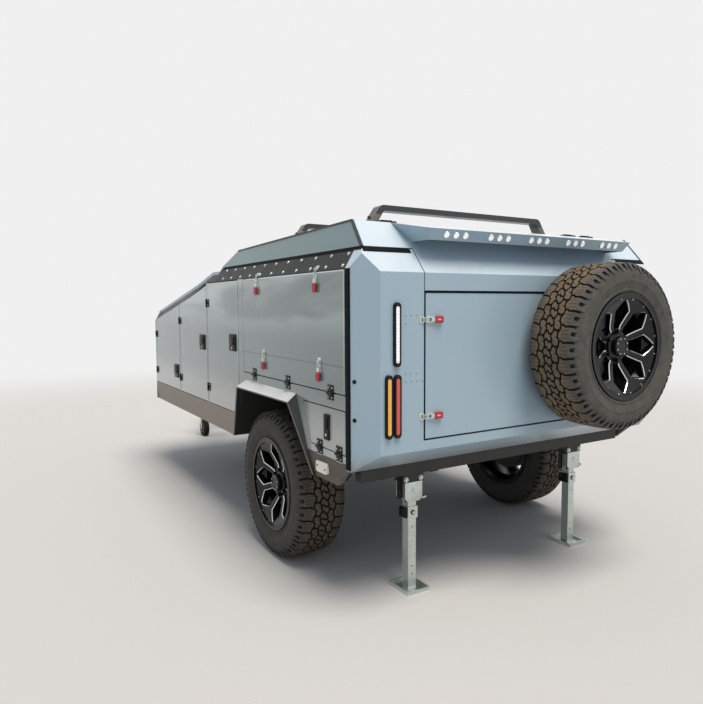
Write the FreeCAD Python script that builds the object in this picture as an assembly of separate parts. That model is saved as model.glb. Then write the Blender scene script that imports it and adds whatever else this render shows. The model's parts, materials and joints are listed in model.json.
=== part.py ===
import FreeCAD
import Part
import math
import os

# Off-road hard-lid camper trailer, one solid for each piece, in millimetres.
# X runs forward to the drawbar, Y to the left side, Z up from the ground. The pieces are laid
# out from the wheel axle, and moved at the end so that X zero is the middle of the length.

# Wheels and running gear
tyre_inset = 1.5
tyre_section_height = 157.5
tyre_width = 265.0
tyre_shoulder_drop = 16.0
tyre_shoulder_width_share = 0.9
tyre_crown_width_share = 0.78
tyre_crown_drop_share = 0.25
tyre_bead_gap = 0.5
rim_seat_diameter = 461.0
rim_lip_diameter = 491.0
rim_width = 252.0
rim_wall = 7.0
rim_well_depth = 24.0
rim_seat_width_share = 0.74
rim_well_width_share = 0.45
wheel_pad_share = 0.42
pad_offset = 38.0
disc_thickness = 24.0
disc_outer_offset = 88.0
spoke_count = 8
cap_radius = 44.0
cap_offset = 96.0
drum_diameter = 300.0
drum_depth = 84.0
axle_radius = 30.0
running_clearance = 0.05
face_clearance = 0.3
arm_pivot_x = 430.0
arm_pivot_z = 450.0
arm_inset = 281.0
arm_width = 90.0
arm_depth = 84.0
arm_nose_share = 0.7
arm_bush_radius = 38.0
arm_bolt_radius = 12.0
backing_plate_thickness = 6.0
coil_radius = 50.0
coil_wire_radius = 7.0
coil_turns = 4.5
spring_x = -30.0
spring_seat_thickness = 6.0
damper_radius = 24.0
damper_rod_radius = 9.0

# Body box
body_width = 1920.0
wall = 25.0
door_gap = 5.0
plate = 3.0
rear_face_x = -950.0
corner_side_x = -845.0
corner_inset = 83.0
floor_z = 645.0
floor_thickness = 20.0
chamfer_rear_z = 721.0
chamfer_front_x = -850.0
slope_low_z = 1467.0
slope_high_x = -766.0
slope_high_z = 1689.0
seam_z = 1568.0
seam_gap = 5.0
band_low_z = 1483.0
band_lean = 50.0
panel_low_z = 672.0
skirt_low_z = 557.0
skirt_lean = 12.0
sill_top_z = 700.0
post_width = 30.0
roof_knee_x = 970.0
roof_knee_z = 1552.0
roof_break_x = 1300.0
roof_break_z = 1482.0
nose_side_x = 2340.0
nose_side_z = 1300.0
nose_face_x = 2460.0
nose_corner_inset = 140.0
front_rail_depth = 80.0
roof_thickness = 20.0
bulkhead_thickness = 15.0
deck_z = 1500.0
deck_thickness = 20.0

# Wheel arch and fender
arch_tyre_gap = 132.0
arch_rear_run = 170.0
arch_front_run = 230.0
arch_top_gap = 139.0
liner_clearance = 36.5
fender_reach = 53.0
fender_fall = 35.0
fender_lip = 11.0

# Doors
rear_door_low_z = 767.0
rear_door_top_z = 1388.0
pillar_width = 300.0
kitchen_rear_x = -810.0
kitchen_front_x = 320.0
kitchen_sill_height = 47.0
kitchen_top_z = 1480.0
kitchen_flap_height = 113.0
groove = 4.0
hatch_rear_x = -810.0
hatch_low_arch_gap = 52.0
hatch_top_arch_gap = 60.0
hatch_low_z = 708.0
hatch_top_drop = 25.0
door_low_z = 705.0
front_door_rear_xs = (405.0, 975.0, 1620.0)
front_door_front_xs = (950.0, 1595.0, 2290.0)
door_arch_gap = 22.1
door_slant_top_z = 770.0
hinge_offset = 6.0
hinge_pin_radius = 3.0
hinge_knuckle_radius = 5.6
hinge_length = 50.0
hinge_leaf = 2.4
hinge_leaf_width = 34.0
post_leaf_width = 16.0
kitchen_hinge_xs = (164.0, -259.0, -689.0)
hatch_hinge_xs = (-587.0, -761.0)
rear_axis_standoff = 35.0
rear_axis_reach = 20.0
rear_hinge_zs = (870.0, 1270.0)
rear_pin_radius = 8.0
rear_barrel_radius = 14.0
rear_barrel_length = 60.0
rear_strap_thickness = 8.0
rear_strap_width = 50.0

# Latches
toggle_length = 110.0
toggle_width = 26.0
toggle_depth = 12.0
toggle_lever_share = 0.6
kitchen_upper_latch_xs = (115.0, -560.0)
kitchen_lower_latch_xs = (30.0, -588.0)
rear_latch_zs = (1272.0, 865.0)
paddle_size = 92.0
paddle_depth = 6.0
paddle_edge = 40.0
front_latch_zs = (1117.0, 1093.0, 844.0)
slam_latch_x = -658.0
slam_latch_z = 804.0
slam_latch_width = 42.0
slam_latch_height = 108.0

# Lid
lid_draft_share = 0.11
lid_wall = 20.0
lid_top_front_x = 530.0
lid_top_front_z = 1660.0
lid_front_x = 800.0
lid_axis_x = 808.0
lid_axis_z = 1560.0
lid_hinge_inset = 310.0
lid_hinge_length = 120.0
lid_knuckle_radius = 6.5
seal_width = 20.0
tail_side_gap = 5.0
visor_sheet = 4.0
visor_root_inset = 210.0
visor_edge_inset = 256.0
visor_lip_inset = 280.0
visor_edge_x = -976.0
visor_edge_z = 1648.0
visor_lip_x = -948.0
visor_lip_z = 1603.0
visor_lamp_radius = 14.0
visor_lamp_depth = 5.0
visor_group_shares = (1.0, 0.5, 0.0, -0.5, -1.0)
visor_group_inset = 410.0
visor_lamp_pitch = 52.0
bar_xs = (370.0, -430.0)
bar_width = 60.0
bar_height = 28.0
bar_rise = 131.0
bar_foot_inset = 250.0
bar_foot_spread = 115.0
bar_foot_width = 42.0
bar_inner_bend_inset = 17.0
bar_bend_radius = 34.0
bar_inner_radius = 14.0

# Spare wheel
spare_x = -1115.0
spare_hinge_gap = 7.0
spare_z = 1138.0
carrier_tube_radius = 45.0
carrier_plate = 260.0
carrier_plate_thickness = 6.0

# Lamps
lamp_width = 34.0
lamp_lens_width = 24.0
lamp_height = 262.0
lamp_depth = 9.0
lamp_lens_proud = 3.0
lamp_clear_inset = 160.0
lamp_clear_z = 1213.0
lamp_amber_inset = 120.0
lamp_red_inset = 162.0
lamp_colour_z = 920.0
marker_setback = 85.0
marker_z = 614.0
marker_width = 100.0
marker_height = 50.0
marker_depth = 12.0
marker_round = 12.5
axis_match_share = 0.9

# Chassis and drawbar
rail_inset = 540.0
rail_width = 50.0
rail_depth = 100.0
rail_rear_x = -725.0
rail_front_x = 2350.0
cross_width = 50.0
cross_xs = (1150.0, 1800.0)
gear_cross_reach = 15.0
gear_cross_width = 100.0
rear_cross_rear_x = -770.0
rear_cross_front_x = -725.0
cross_end_inset = 100.0
front_cross_gap = 20.0
rear_cross_depth = 80.0
ear_thickness = 12.0
drawbar_root_x = 2400.0
drawbar_tip_x = 3440.0
drawbar_tip_y = 42.0
drawbar_width = 50.0
drawbar_head = 90.0
drawbar_head_front = 30.0
flange_width_share = 0.8
coupling_front_x = 3790.0
coupling_half_width = 42.0
coupling_shaft_radius = 30.0
coupling_cup_radius = 55.0
coupling_cup_height = 96.0
coupling_bore_radius = 17.75

# Rear legs
leg_x = -700.0
leg_inset = 410.0
leg_pivot_z = 475.0
leg_size = 45.0
leg_wall = 4.0
leg_top_z = 500.0
leg_pin_radius = 8.0
leg_plate_gap = 5.0
leg_bracket_half = 58.0
leg_cheek_half = 48.0
leg_cheek_top_z = 516.0
leg_bracket_low_z = 425.0
leg_collar_z = 398.0
leg_collar_size = 56.0
leg_collar_height = 56.0
foot_length = 150.0
foot_width = 125.0
foot_thickness = 6.0
foot_rim = 12.0
lever_reach = 80.0
lever_z = 430.0

# Jockey wheel
jockey_x = 3180.0
jockey_standoff = 128.0
jockey_pivot_z = 600.0
jockey_pivot_radius = 15.0
jockey_clamp_reach = 18.0
jockey_tube_radius = 30.0
jockey_tube_low_z = 420.0
jockey_tube_top_z = 830.0
jockey_inner_radius = 24.0
jockey_inner_top_z = 560.0
jockey_stem_radius = 12.0
jockey_stem_top_z = 262.0
jockey_head_z = 222.0
jockey_crown_reach = 38.0
jockey_fork_thickness = 6.0
jockey_fork_gap = 4.0
jockey_trail = 24.0
jockey_wheel_radius = 85.0
jockey_wheel_width = 52.0
jockey_tread_round = 10.0
jockey_axle_radius = 7.0
crank_reach = 120.0
crank_radius = 7.0
crank_rise = 28.0
crank_grip_radius = 11.0

# Sizes worked out from those above
overrun = 10.0
half_width = body_width / 2
tyre_diameter = rim_seat_diameter + tyre_section_height * 2
axle_z = tyre_diameter / 2
arch_low_half = axle_z + arch_tyre_gap
arch_rear_x = -arch_low_half + arch_rear_run
arch_front_x = arch_low_half - arch_front_run
arch_top_z = tyre_diameter + arch_top_gap
kitchen_low_z = arch_top_z + kitchen_sill_height
kitchen_split_z = kitchen_low_z + kitchen_flap_height
hatch_top_z = arch_top_z - hatch_top_drop
wheel_y = half_width - tyre_inset - tyre_width / 2
rim_face = rim_width / 2
roof_slope_share = (roof_break_z - nose_side_z) / (nose_side_x - roof_break_x)
nose_face_z = nose_side_z - roof_slope_share * (nose_face_x - nose_side_x)
rear_end_x = spare_x - tyre_width / 2
middle_x = (rear_end_x + coupling_front_x) / 2
rail_low_z = floor_z - rail_depth
slope_share = (slope_high_x - rear_face_x) / (slope_high_z - slope_low_z)
arm_middle_y = wheel_y - arm_inset
liner_inner_y = wheel_y - tyre_width / 2 - liner_clearance
corner_rear_y = half_width - corner_inset
nose_corner_y = half_width - nose_corner_inset
pillar_inner_y = half_width - pillar_width
rear_door_half = pillar_inner_y - door_gap
rear_axis_x = rear_face_x - rear_axis_standoff
rear_axis_y = -rear_door_half - rear_axis_reach
spare_y = rear_axis_y + tyre_diameter / 2 + spare_hinge_gap
lid_low_half = half_width - band_lean
lid_hinge_y = lid_low_half - lid_hinge_inset
visor_group_y = lid_low_half - visor_group_inset
bar_top_z = slope_high_z + bar_rise
bar_foot_y = lid_low_half - bar_foot_inset
bar_bend_y = bar_foot_y - bar_foot_spread
lamp_clear_y = half_width - lamp_clear_inset
lamp_amber_y = half_width - lamp_amber_inset
lamp_red_y = half_width - lamp_red_inset
marker_x = -arch_low_half - marker_setback
rail_middle_y = half_width - rail_inset
drawbar_root_y = rail_middle_y
gear_cross_half = arm_middle_y + arm_width / 2 + gear_cross_reach
rear_cross_half = half_width - cross_end_inset
front_cross_half = nose_corner_y - front_cross_gap
leg_y = half_width - leg_inset


def vec(x, y, z):
    return FreeCAD.Vector(x, y, z)


def block(x0, x1, y0, y1, z0, z1):
    return Part.makeBox(x1 - x0, y1 - y0, z1 - z0, vec(x0, y0, z0))


def closed_face(points):
    return Part.Face(Part.makePolygon(points + points[:1]))


def prism_along_x(outline_yz, x0, x1):
    return closed_face([vec(x0, y, z) for y, z in outline_yz]).extrude(vec(x1 - x0, 0, 0))


def prism_along_y(outline_xz, y0, y1):
    return closed_face([vec(x, y0, z) for x, z in outline_xz]).extrude(vec(0, y1 - y0, 0))


def prism_along_z(outline_xy, z0, z1):
    return closed_face([vec(x, y, z0) for x, y in outline_xy]).extrude(vec(0, 0, z1 - z0))


def rod(radius, start, end):
    return Part.makeCylinder(radius, (end - start).Length, start, end - start)


def joined(shapes):
    return shapes[0].fuse(shapes[1:]).removeSplitter()


def mirrored(shape):
    return shape.mirror(vec(0, 0, 0), vec(0, 1, 0))


def both_sides(shape):
    return [shape, mirrored(shape)]


def moved(shape, x, y, z):
    copy = shape.copy()
    copy.translate(vec(x, y, z))
    return copy


def turned(shape, centre, axis, degrees):
    copy = shape.copy()
    copy.rotate(centre, axis, degrees)
    return copy


def inset(outline, depth):
    # Each edge of a convex outline moves inward by the depth, and neighbours meet again.
    flat = [vec(a, b, 0) for a, b in outline]
    wire = Part.makePolygon(flat + flat[:1])
    shrunk = wire.makeOffset2D(-depth, 2, False, False, False)
    return [(v.Point.x, v.Point.y) for v in Part.Wire(shrunk.Edges).OrderedVertexes]


def revolved_about_y(edges, centre_y, centre_z):
    # The section is drawn with X as the radius, and turns round an axis along Y.
    shape = Part.Face(Part.Wire(edges)).revolve(vec(0, 0, 0), vec(0, 1, 0), 360)
    return moved(shape, 0, centre_y, centre_z)


def line_chain(points):
    pairs = zip(points, points[1:] + points[:1])
    return [Part.LineSegment(a, b).toShape() for a, b in pairs]


def save(name, shapes):
    placed = [moved(shape, -middle_x, 0, 0) for shape in shapes]
    whole = placed[0] if len(placed) == 1 else Part.makeCompound(placed)
    whole.exportStep("parts/" + name + ".step")


# Wheel pieces, modelled round the axis Y with the outer face towards +Y

def tyre():
    bead = rim_seat_diameter / 2 + tyre_bead_gap
    side = tyre_width / 2
    bead_half = rim_face - rim_wall - tyre_bead_gap
    shoulder_r = axle_z - tyre_shoulder_drop
    shoulder_half = side * tyre_shoulder_width_share
    crown_half = side * tyre_crown_width_share
    crown_edge_r = axle_z - tyre_shoulder_drop * tyre_crown_drop_share
    bulge_r = (bead + shoulder_r) / 2
    low = [vec(bead, -bead_half, 0), vec(rim_lip_diameter / 2, -bead_half, 0)]
    high = [vec(rim_lip_diameter / 2, bead_half, 0), vec(bead, bead_half, 0)]
    left_shoulder = vec(shoulder_r, -shoulder_half, 0)
    right_shoulder = vec(shoulder_r, shoulder_half, 0)
    left_crown = vec(crown_edge_r, -crown_half, 0)
    right_crown = vec(crown_edge_r, crown_half, 0)
    edges = [
        Part.LineSegment(low[0], low[1]).toShape(),
        Part.Arc(low[1], vec(bulge_r, -side, 0), left_shoulder).toShape(),
        Part.LineSegment(left_shoulder, left_crown).toShape(),
        Part.Arc(left_crown, vec(axle_z, 0, 0), right_crown).toShape(),
        Part.LineSegment(right_crown, right_shoulder).toShape(),
        Part.Arc(right_shoulder, vec(bulge_r, side, 0), high[0]).toShape(),
        Part.LineSegment(high[0], high[1]).toShape(),
        Part.LineSegment(high[1], low[0]).toShape(),
    ]
    return revolved_about_y(edges, 0, 0)


def rim_barrel():
    lip = rim_lip_diameter / 2
    seat = rim_seat_diameter / 2
    well = seat - rim_well_depth
    seat_half = rim_face * rim_seat_width_share
    well_half = rim_face * rim_well_width_share
    points = [
        vec(lip, rim_face, 0), vec(lip, rim_face - rim_wall, 0), vec(seat, rim_face - rim_wall, 0),
        vec(seat, seat_half, 0), vec(well, well_half, 0), vec(well, -well_half, 0),
        vec(seat, -seat_half, 0), vec(seat, rim_wall - rim_face, 0),
        vec(lip, rim_wall - rim_face, 0), vec(lip, -rim_face, 0),
        vec(seat - rim_wall, -rim_face, 0), vec(seat - rim_wall, -seat_half, 0),
        vec(well - rim_wall, -well_half, 0), vec(well - rim_wall, well_half, 0),
        vec(seat - rim_wall, seat_half, 0), vec(seat - rim_wall, rim_face, 0),
    ]
    return revolved_about_y(line_chain(points), 0, 0)


def polar(radius, degrees, y):
    angle = math.radians(degrees)
    return vec(radius * math.sin(angle), y, radius * math.cos(angle))


def spoke_disc():
    # A dished disc with petal windows: narrow at the hub, widest further out, pointed at the rim.
    edge = rim_seat_diameter / 2 - rim_wall / 2
    pad_edge = edge * wheel_pad_share
    inner = pad_offset
    outer = disc_outer_offset
    points = [
        vec(0, inner, 0), vec(pad_edge, inner, 0), vec(edge, outer, 0),
        vec(edge, outer + disc_thickness, 0), vec(pad_edge, inner + disc_thickness, 0),
        vec(0, inner + disc_thickness, 0),
    ]
    disc = revolved_about_y(line_chain(points), 0, 0)
    pitch = 360 / spoke_count
    low = inner - overrun
    span = vec(0, outer + disc_thickness + overrun - low, 0)
    window_shares = ((0.35, -0.27), (0.74, -0.37), (0.95, 0.0), (0.74, 0.37), (0.35, 0.27))
    windows = []
    for index in range(spoke_count):
        corners = [polar(edge * r, pitch * (index + a), low) for r, a in window_shares]
        windows.append(closed_face(corners).extrude(span))
    disc = disc.cut(windows)
    cap = rod(cap_radius, vec(0, inner, 0), vec(0, cap_offset, 0))
    return joined([disc, cap])


def rim():
    return joined([rim_barrel(), spoke_disc()])


def hub():
    # The drum turns with the wheel, and its bore runs on the stub axle.
    low = pad_offset - drum_depth
    drum = rod(drum_diameter / 2, vec(0, low, 0), vec(0, pad_offset, 0))
    bore = rod(axle_radius + running_clearance, vec(0, low - overrun, 0), vec(0, pad_offset / 2, 0))
    return drum.cut(bore)


def placed_wheel(shape):
    return moved(shape, 0, wheel_y, axle_z)


def placed_spare(shape):
    # The outer face turns to the rear.
    facing = turned(shape, vec(0, 0, 0), vec(0, 0, 1), 90)
    return moved(facing, spare_x, spare_y, spare_z)


def save_wheels():
    for side, place in (("left", lambda shape: shape), ("right", mirrored)):
        save("tyre_" + side, [place(placed_wheel(tyre()))])
        save("rim_" + side, [place(placed_wheel(rim()))])
        save("hub_" + side, [place(placed_wheel(hub()))])
    save("spare_tyre", [placed_spare(tyre())])
    save("spare_rim", [placed_spare(rim())])


# Running gear

def trailing_arm():
    y0 = arm_middle_y - arm_width / 2
    y1 = arm_middle_y + arm_width / 2
    half = arm_depth / 2
    seat_front_x = spring_x + coil_radius + coil_wire_radius + spring_seat_thickness
    seat_rear_x = spring_x - coil_radius - coil_wire_radius - spring_seat_thickness
    nose = half * arm_nose_share
    outline = [
        (arm_pivot_x, arm_pivot_z + nose), (arm_pivot_x, arm_pivot_z - nose),
        (-half, axle_z - half), (seat_rear_x, axle_z), (seat_rear_x, axle_z + half),
        (seat_front_x, axle_z + half),
    ]
    beam = prism_along_y(outline, y0, y1)
    bush = rod(arm_bush_radius, vec(arm_pivot_x, y0, arm_pivot_z), vec(arm_pivot_x, y1, arm_pivot_z))
    bolt_hole = rod(arm_bolt_radius, vec(arm_pivot_x, y0 - overrun, arm_pivot_z),
                    vec(arm_pivot_x, y1 + overrun, arm_pivot_z))
    stub_end = wheel_y + pad_offset / 2 - overrun / 2
    stub = rod(axle_radius, vec(0, arm_middle_y, axle_z), vec(0, stub_end, axle_z))
    plate_end = wheel_y + pad_offset - drum_depth - hinge_offset
    backing = rod(drum_diameter / 2, vec(0, plate_end - backing_plate_thickness, axle_z),
                  vec(0, plate_end, axle_z))
    return joined([beam, bush, stub, backing]).cut(bolt_hole)


def spring_low_z():
    return axle_z + arm_depth / 2 + spring_seat_thickness


def spring_high_z():
    return floor_z - rear_cross_depth - spring_seat_thickness


def coil_spring():
    low = spring_low_z() + coil_wire_radius + face_clearance
    high = spring_high_z() - coil_wire_radius - face_clearance
    helix = Part.makeHelix((high - low) / coil_turns, high - low, coil_radius)
    section = Part.Wire(Part.makeCircle(coil_wire_radius, vec(coil_radius, 0, 0), vec(0, 1, 0)))
    coil = Part.Wire(helix).makePipeShell([section], True, True)
    return moved(coil, spring_x, arm_middle_y, low)


def damper():
    # The spring stands between the two seats, round the damper.
    centre = vec(spring_x, arm_middle_y, 0)
    seat_radius = coil_radius + coil_wire_radius
    arm_z = axle_z + arm_depth / 2
    top = floor_z - rear_cross_depth
    middle = (arm_z + top) / 2
    pieces = [
        rod(seat_radius, centre + vec(0, 0, arm_z), centre + vec(0, 0, spring_low_z())),
        rod(damper_radius, centre + vec(0, 0, arm_z), centre + vec(0, 0, middle)),
        rod(damper_rod_radius, centre + vec(0, 0, arm_z), centre + vec(0, 0, top)),
        rod(seat_radius, centre + vec(0, 0, spring_high_z()), centre + vec(0, 0, top)),
    ]
    return joined(pieces)


def save_running_gear():
    save("trailing_arms", both_sides(trailing_arm()))
    save("coil_springs", both_sides(coil_spring()))
    save("dampers", both_sides(damper()))


# Chassis, drawbar and coupling

def arm_ears():
    ears = []
    for inner_y in (arm_middle_y - arm_width / 2 - ear_thickness, arm_middle_y + arm_width / 2):
        outline = [
            (arm_pivot_x - gear_cross_width / 2, rail_low_z), (arm_pivot_x - arm_bush_radius, arm_pivot_z),
            (arm_pivot_x, arm_pivot_z - arm_bush_radius), (arm_pivot_x + arm_bush_radius, arm_pivot_z),
            (arm_pivot_x + gear_cross_width / 2, rail_low_z),
        ]
        ears.append(prism_along_y(outline, inner_y, inner_y + ear_thickness))
    bolt = rod(arm_bolt_radius, vec(arm_pivot_x, arm_middle_y - arm_width / 2 - ear_thickness, arm_pivot_z),
               vec(arm_pivot_x, arm_middle_y + arm_width / 2 + ear_thickness, arm_pivot_z))
    return ears + [bolt]


def leg_bracket(centre_y):
    # Two plates hang from the cross-member, with narrower cheeks below on both sides of the leg.
    outline = [
        (centre_y - leg_bracket_half, floor_z), (centre_y + leg_bracket_half, floor_z),
        (centre_y + leg_bracket_half, leg_cheek_top_z), (centre_y + leg_cheek_half, leg_cheek_top_z),
        (centre_y + leg_cheek_half, leg_bracket_low_z), (centre_y - leg_cheek_half, leg_bracket_low_z),
        (centre_y - leg_cheek_half, leg_cheek_top_z), (centre_y - leg_bracket_half, leg_cheek_top_z),
    ]
    gap = leg_size / 2 + leg_plate_gap
    rear_x = leg_x - gap - foot_thickness
    front_x = leg_x + gap + foot_thickness
    plates = [prism_along_x(outline, rear_x, leg_x - gap), prism_along_x(outline, leg_x + gap, front_x)]
    bridge = block(rear_cross_front_x, front_x, centre_y - leg_bracket_half, centre_y + leg_bracket_half,
                   floor_z - rear_cross_depth, floor_z)
    pin = rod(leg_pin_radius, vec(rear_x, centre_y, leg_pivot_z), vec(front_x, centre_y, leg_pivot_z))
    return plates + [bridge, pin]


def chassis_frame():
    rail_in = rail_middle_y - rail_width / 2
    rail_out = rail_middle_y + rail_width / 2
    pieces = [block(rail_rear_x, rail_front_x, rail_in, rail_out, rail_low_z, floor_z)]
    pieces += arm_ears()
    pieces += [mirrored(piece) for piece in list(pieces)]
    for x in cross_xs:
        pieces.append(block(x, x + cross_width, -rail_out, rail_out, rail_low_z, floor_z))
    pieces.append(block(rail_front_x, rail_front_x + cross_width, -front_cross_half, front_cross_half,
                        rail_low_z, floor_z))
    half = gear_cross_width / 2
    pieces.append(block(arm_pivot_x - half, arm_pivot_x + half, -gear_cross_half, gear_cross_half,
                        rail_low_z, floor_z))
    pieces.append(block(spring_x - half, spring_x + half, -gear_cross_half, gear_cross_half,
                        floor_z - rear_cross_depth, floor_z))
    pieces.append(block(rear_cross_rear_x, rear_cross_front_x, -rear_cross_half, rear_cross_half,
                        floor_z - rear_cross_depth, floor_z))
    for centre_y in (leg_y, -leg_y):
        pieces += leg_bracket(centre_y)
    return joined(pieces)


def drawbar_normal():
    run = vec(drawbar_tip_x - drawbar_root_x, drawbar_tip_y - drawbar_root_y, 0)
    run.normalize()
    return vec(-run.y, run.x, 0)


def jockey_pivot_point():
    # The clamp stands off the outer face of the left drawbar leg.
    share = (jockey_x - drawbar_root_x) / (drawbar_tip_x - drawbar_root_x)
    centre_y = drawbar_root_y + share * (drawbar_tip_y - drawbar_root_y)
    return vec(jockey_x, centre_y, jockey_pivot_z) + drawbar_normal() * (drawbar_width / 2)


def drawbar():
    normal = drawbar_normal() * (drawbar_width / 2)
    root = vec(drawbar_root_x, drawbar_root_y, rail_low_z)
    tip = vec(drawbar_tip_x, drawbar_tip_y, rail_low_z)
    leg = closed_face([root + normal, tip + normal, tip - normal, root - normal])
    leg = leg.extrude(vec(0, 0, rail_depth))
    head = block(drawbar_tip_x - drawbar_head, drawbar_tip_x + drawbar_head_front,
                 -drawbar_head, drawbar_head, rail_low_z, floor_z)
    tie_x = (drawbar_root_x + drawbar_tip_x) / 2
    tie_y = (drawbar_root_y + drawbar_tip_y) / 2
    tie = block(tie_x, tie_x + cross_width, -tie_y, tie_y, rail_low_z, floor_z)
    face = jockey_pivot_point()
    out = drawbar_normal()
    boss_end = face + out * (jockey_standoff - jockey_tube_radius - jockey_clamp_reach)
    boss = rod(jockey_pivot_radius * 2, face - out, boss_end)
    pin_end = face + out * (jockey_standoff - jockey_tube_radius - face_clearance)
    pin = rod(jockey_pivot_radius, face - out, pin_end)
    front_face = block(rail_front_x, rail_front_x + cross_width, -half_width, half_width,
                       rail_low_z, floor_z)
    return joined([leg, mirrored(leg), head, tie, boss, pin]).cut(front_face)


def coupling():
    middle_z = rail_low_z + rail_depth / 2
    head_front = drawbar_tip_x + drawbar_head_front
    cup_x = coupling_front_x - coupling_cup_radius
    shaft = rod(coupling_shaft_radius, vec(head_front, 0, middle_z), vec(cup_x, 0, middle_z))
    plate_front = head_front + ear_thickness
    flange_half = drawbar_head * flange_width_share
    flange = block(head_front, plate_front, -flange_half, flange_half, rail_low_z, floor_z)
    yoke_x = (head_front + cup_x) / 2
    yoke = block(yoke_x - coupling_half_width, yoke_x + coupling_half_width, -coupling_half_width,
                 coupling_half_width, middle_z - coupling_half_width, middle_z + coupling_half_width)
    low = middle_z - coupling_cup_height / 2
    high = middle_z + coupling_cup_height / 2
    cup = rod(coupling_cup_radius, vec(cup_x, 0, low), vec(cup_x, 0, high))
    bore = rod(coupling_bore_radius, vec(cup_x, 0, low - overrun), vec(cup_x, 0, high + overrun))
    return joined([shaft, flange, yoke, cup]).cut(bore)


def save_chassis():
    save("chassis_frame", [chassis_frame()])
    save("drawbar", [drawbar()])
    save("coupling", [coupling()])


# Rear legs, each on its pin

def rear_leg(centre_y):
    half = leg_size / 2
    core = half - leg_wall
    foot_top = foot_thickness + foot_rim
    tube = block(leg_x - half, leg_x + half, centre_y - half, centre_y + half, foot_thickness, leg_top_z)
    hollow = block(leg_x - core, leg_x + core, centre_y - core, centre_y + core,
                   leg_wall + foot_thickness, leg_top_z + overrun)
    tube = tube.cut(hollow)
    foot = block(leg_x - foot_length / 2, leg_x + foot_length / 2, centre_y - foot_width / 2,
                 centre_y + foot_width / 2, 0, foot_top)
    dish = block(leg_x - foot_length / 2 + foot_thickness, leg_x + foot_length / 2 - foot_thickness,
                 centre_y - foot_width / 2 + foot_thickness, centre_y + foot_width / 2 - foot_thickness,
                 foot_thickness, foot_top + overrun)
    foot = foot.cut(dish)
    collar_half = leg_collar_size / 2
    collar = block(leg_x - collar_half, leg_x + collar_half, centre_y - collar_half,
                   centre_y + collar_half, leg_collar_z - leg_collar_height, leg_collar_z)
    lever = block(leg_x - half, leg_x + half, centre_y - lever_reach, centre_y + half,
                  lever_z - leg_wall, lever_z + leg_wall)
    bore = rod(leg_pin_radius + running_clearance, vec(leg_x - leg_size, centre_y, leg_pivot_z),
               vec(leg_x + leg_size, centre_y, leg_pivot_z))
    collar = collar.cut(hollow)
    lever = lever.cut(hollow)
    return joined([tube, foot, collar, lever]).cut(bore)


def save_legs():
    save("leg_left", [rear_leg(leg_y)])
    save("leg_right", [rear_leg(-leg_y)])


# Jockey wheel, on its clamp beside the left drawbar leg

def jockey_centre():
    point = jockey_pivot_point() + drawbar_normal() * jockey_standoff
    return point.x, point.y


def jockey_outer():
    x, y = jockey_centre()
    tube = rod(jockey_tube_radius, vec(x, y, jockey_tube_low_z), vec(x, y, jockey_tube_top_z))
    hollow = rod(jockey_inner_radius + face_clearance, vec(x, y, jockey_tube_low_z - overrun),
                 vec(x, y, jockey_tube_top_z - overrun))
    out = drawbar_normal()
    pivot = vec(x, y, jockey_pivot_z)
    clamp_face = jockey_tube_radius + jockey_clamp_reach - face_clearance
    clamp = rod(jockey_pivot_radius * 2, pivot - out * clamp_face, pivot)
    pin_hole = rod(jockey_pivot_radius + running_clearance, pivot - out * jockey_standoff,
                   pivot - out * jockey_tube_radius)
    top = vec(x, y, jockey_tube_top_z)
    shaft = rod(crank_radius, top - vec(0, 0, crank_radius), top + vec(0, 0, crank_rise))
    arm = rod(crank_radius, top + vec(0, 0, crank_rise), top + vec(crank_reach, 0, crank_rise))
    grip = rod(crank_grip_radius, top + vec(crank_reach, 0, crank_rise - crank_radius),
               top + vec(crank_reach, 0, crank_reach))
    body = joined([tube, clamp]).cut(hollow)
    return joined([body, shaft, arm, grip]).cut(pin_hole)


def jockey_inner():
    x, y = jockey_centre()
    tube = rod(jockey_inner_radius, vec(x, y, jockey_head_z + jockey_fork_gap), vec(x, y, jockey_inner_top_z))
    hole = rod(jockey_stem_radius + running_clearance, vec(x, y, jockey_head_z - overrun),
               vec(x, y, jockey_stem_top_z + jockey_fork_gap))
    return tube.cut(hole)


def jockey_fork():
    x, y = jockey_centre()
    wheel_x = x - jockey_trail
    half = jockey_wheel_width / 2
    inner = half + jockey_fork_gap
    outer = inner + jockey_fork_thickness
    crown = block(x - jockey_crown_reach, x + jockey_inner_radius, y - outer, y + outer,
                  jockey_head_z - jockey_fork_thickness * 2, jockey_head_z)
    stem = rod(jockey_stem_radius, vec(x, y, jockey_head_z - jockey_fork_thickness),
               vec(x, y, jockey_stem_top_z))
    low = jockey_wheel_radius - jockey_axle_radius * 2
    cheek_outline = [
        (x - jockey_crown_reach, jockey_head_z), (x + jockey_inner_radius, jockey_head_z),
        (wheel_x + jockey_axle_radius * 2, low), (wheel_x - jockey_axle_radius * 2, low),
    ]
    cheeks = [
        prism_along_y(cheek_outline, y + inner, y + outer),
        prism_along_y(cheek_outline, y - outer, y - inner),
    ]
    axle = rod(jockey_axle_radius, vec(wheel_x, y - outer, jockey_wheel_radius),
               vec(wheel_x, y + outer, jockey_wheel_radius))
    return joined([crown, stem, axle] + cheeks)


def jockey_wheel():
    x, y = jockey_centre()
    wheel_x = x - jockey_trail
    half = jockey_wheel_width / 2
    tread = rod(jockey_wheel_radius, vec(wheel_x, y - half, jockey_wheel_radius),
                vec(wheel_x, y + half, jockey_wheel_radius))
    tread = tread.makeFillet(jockey_tread_round, [edge for edge in tread.Edges if edge.Closed])
    bore = rod(jockey_axle_radius + running_clearance, vec(wheel_x, y - half - overrun, jockey_wheel_radius),
               vec(wheel_x, y + half + overrun, jockey_wheel_radius))
    return tread.cut(bore)


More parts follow.
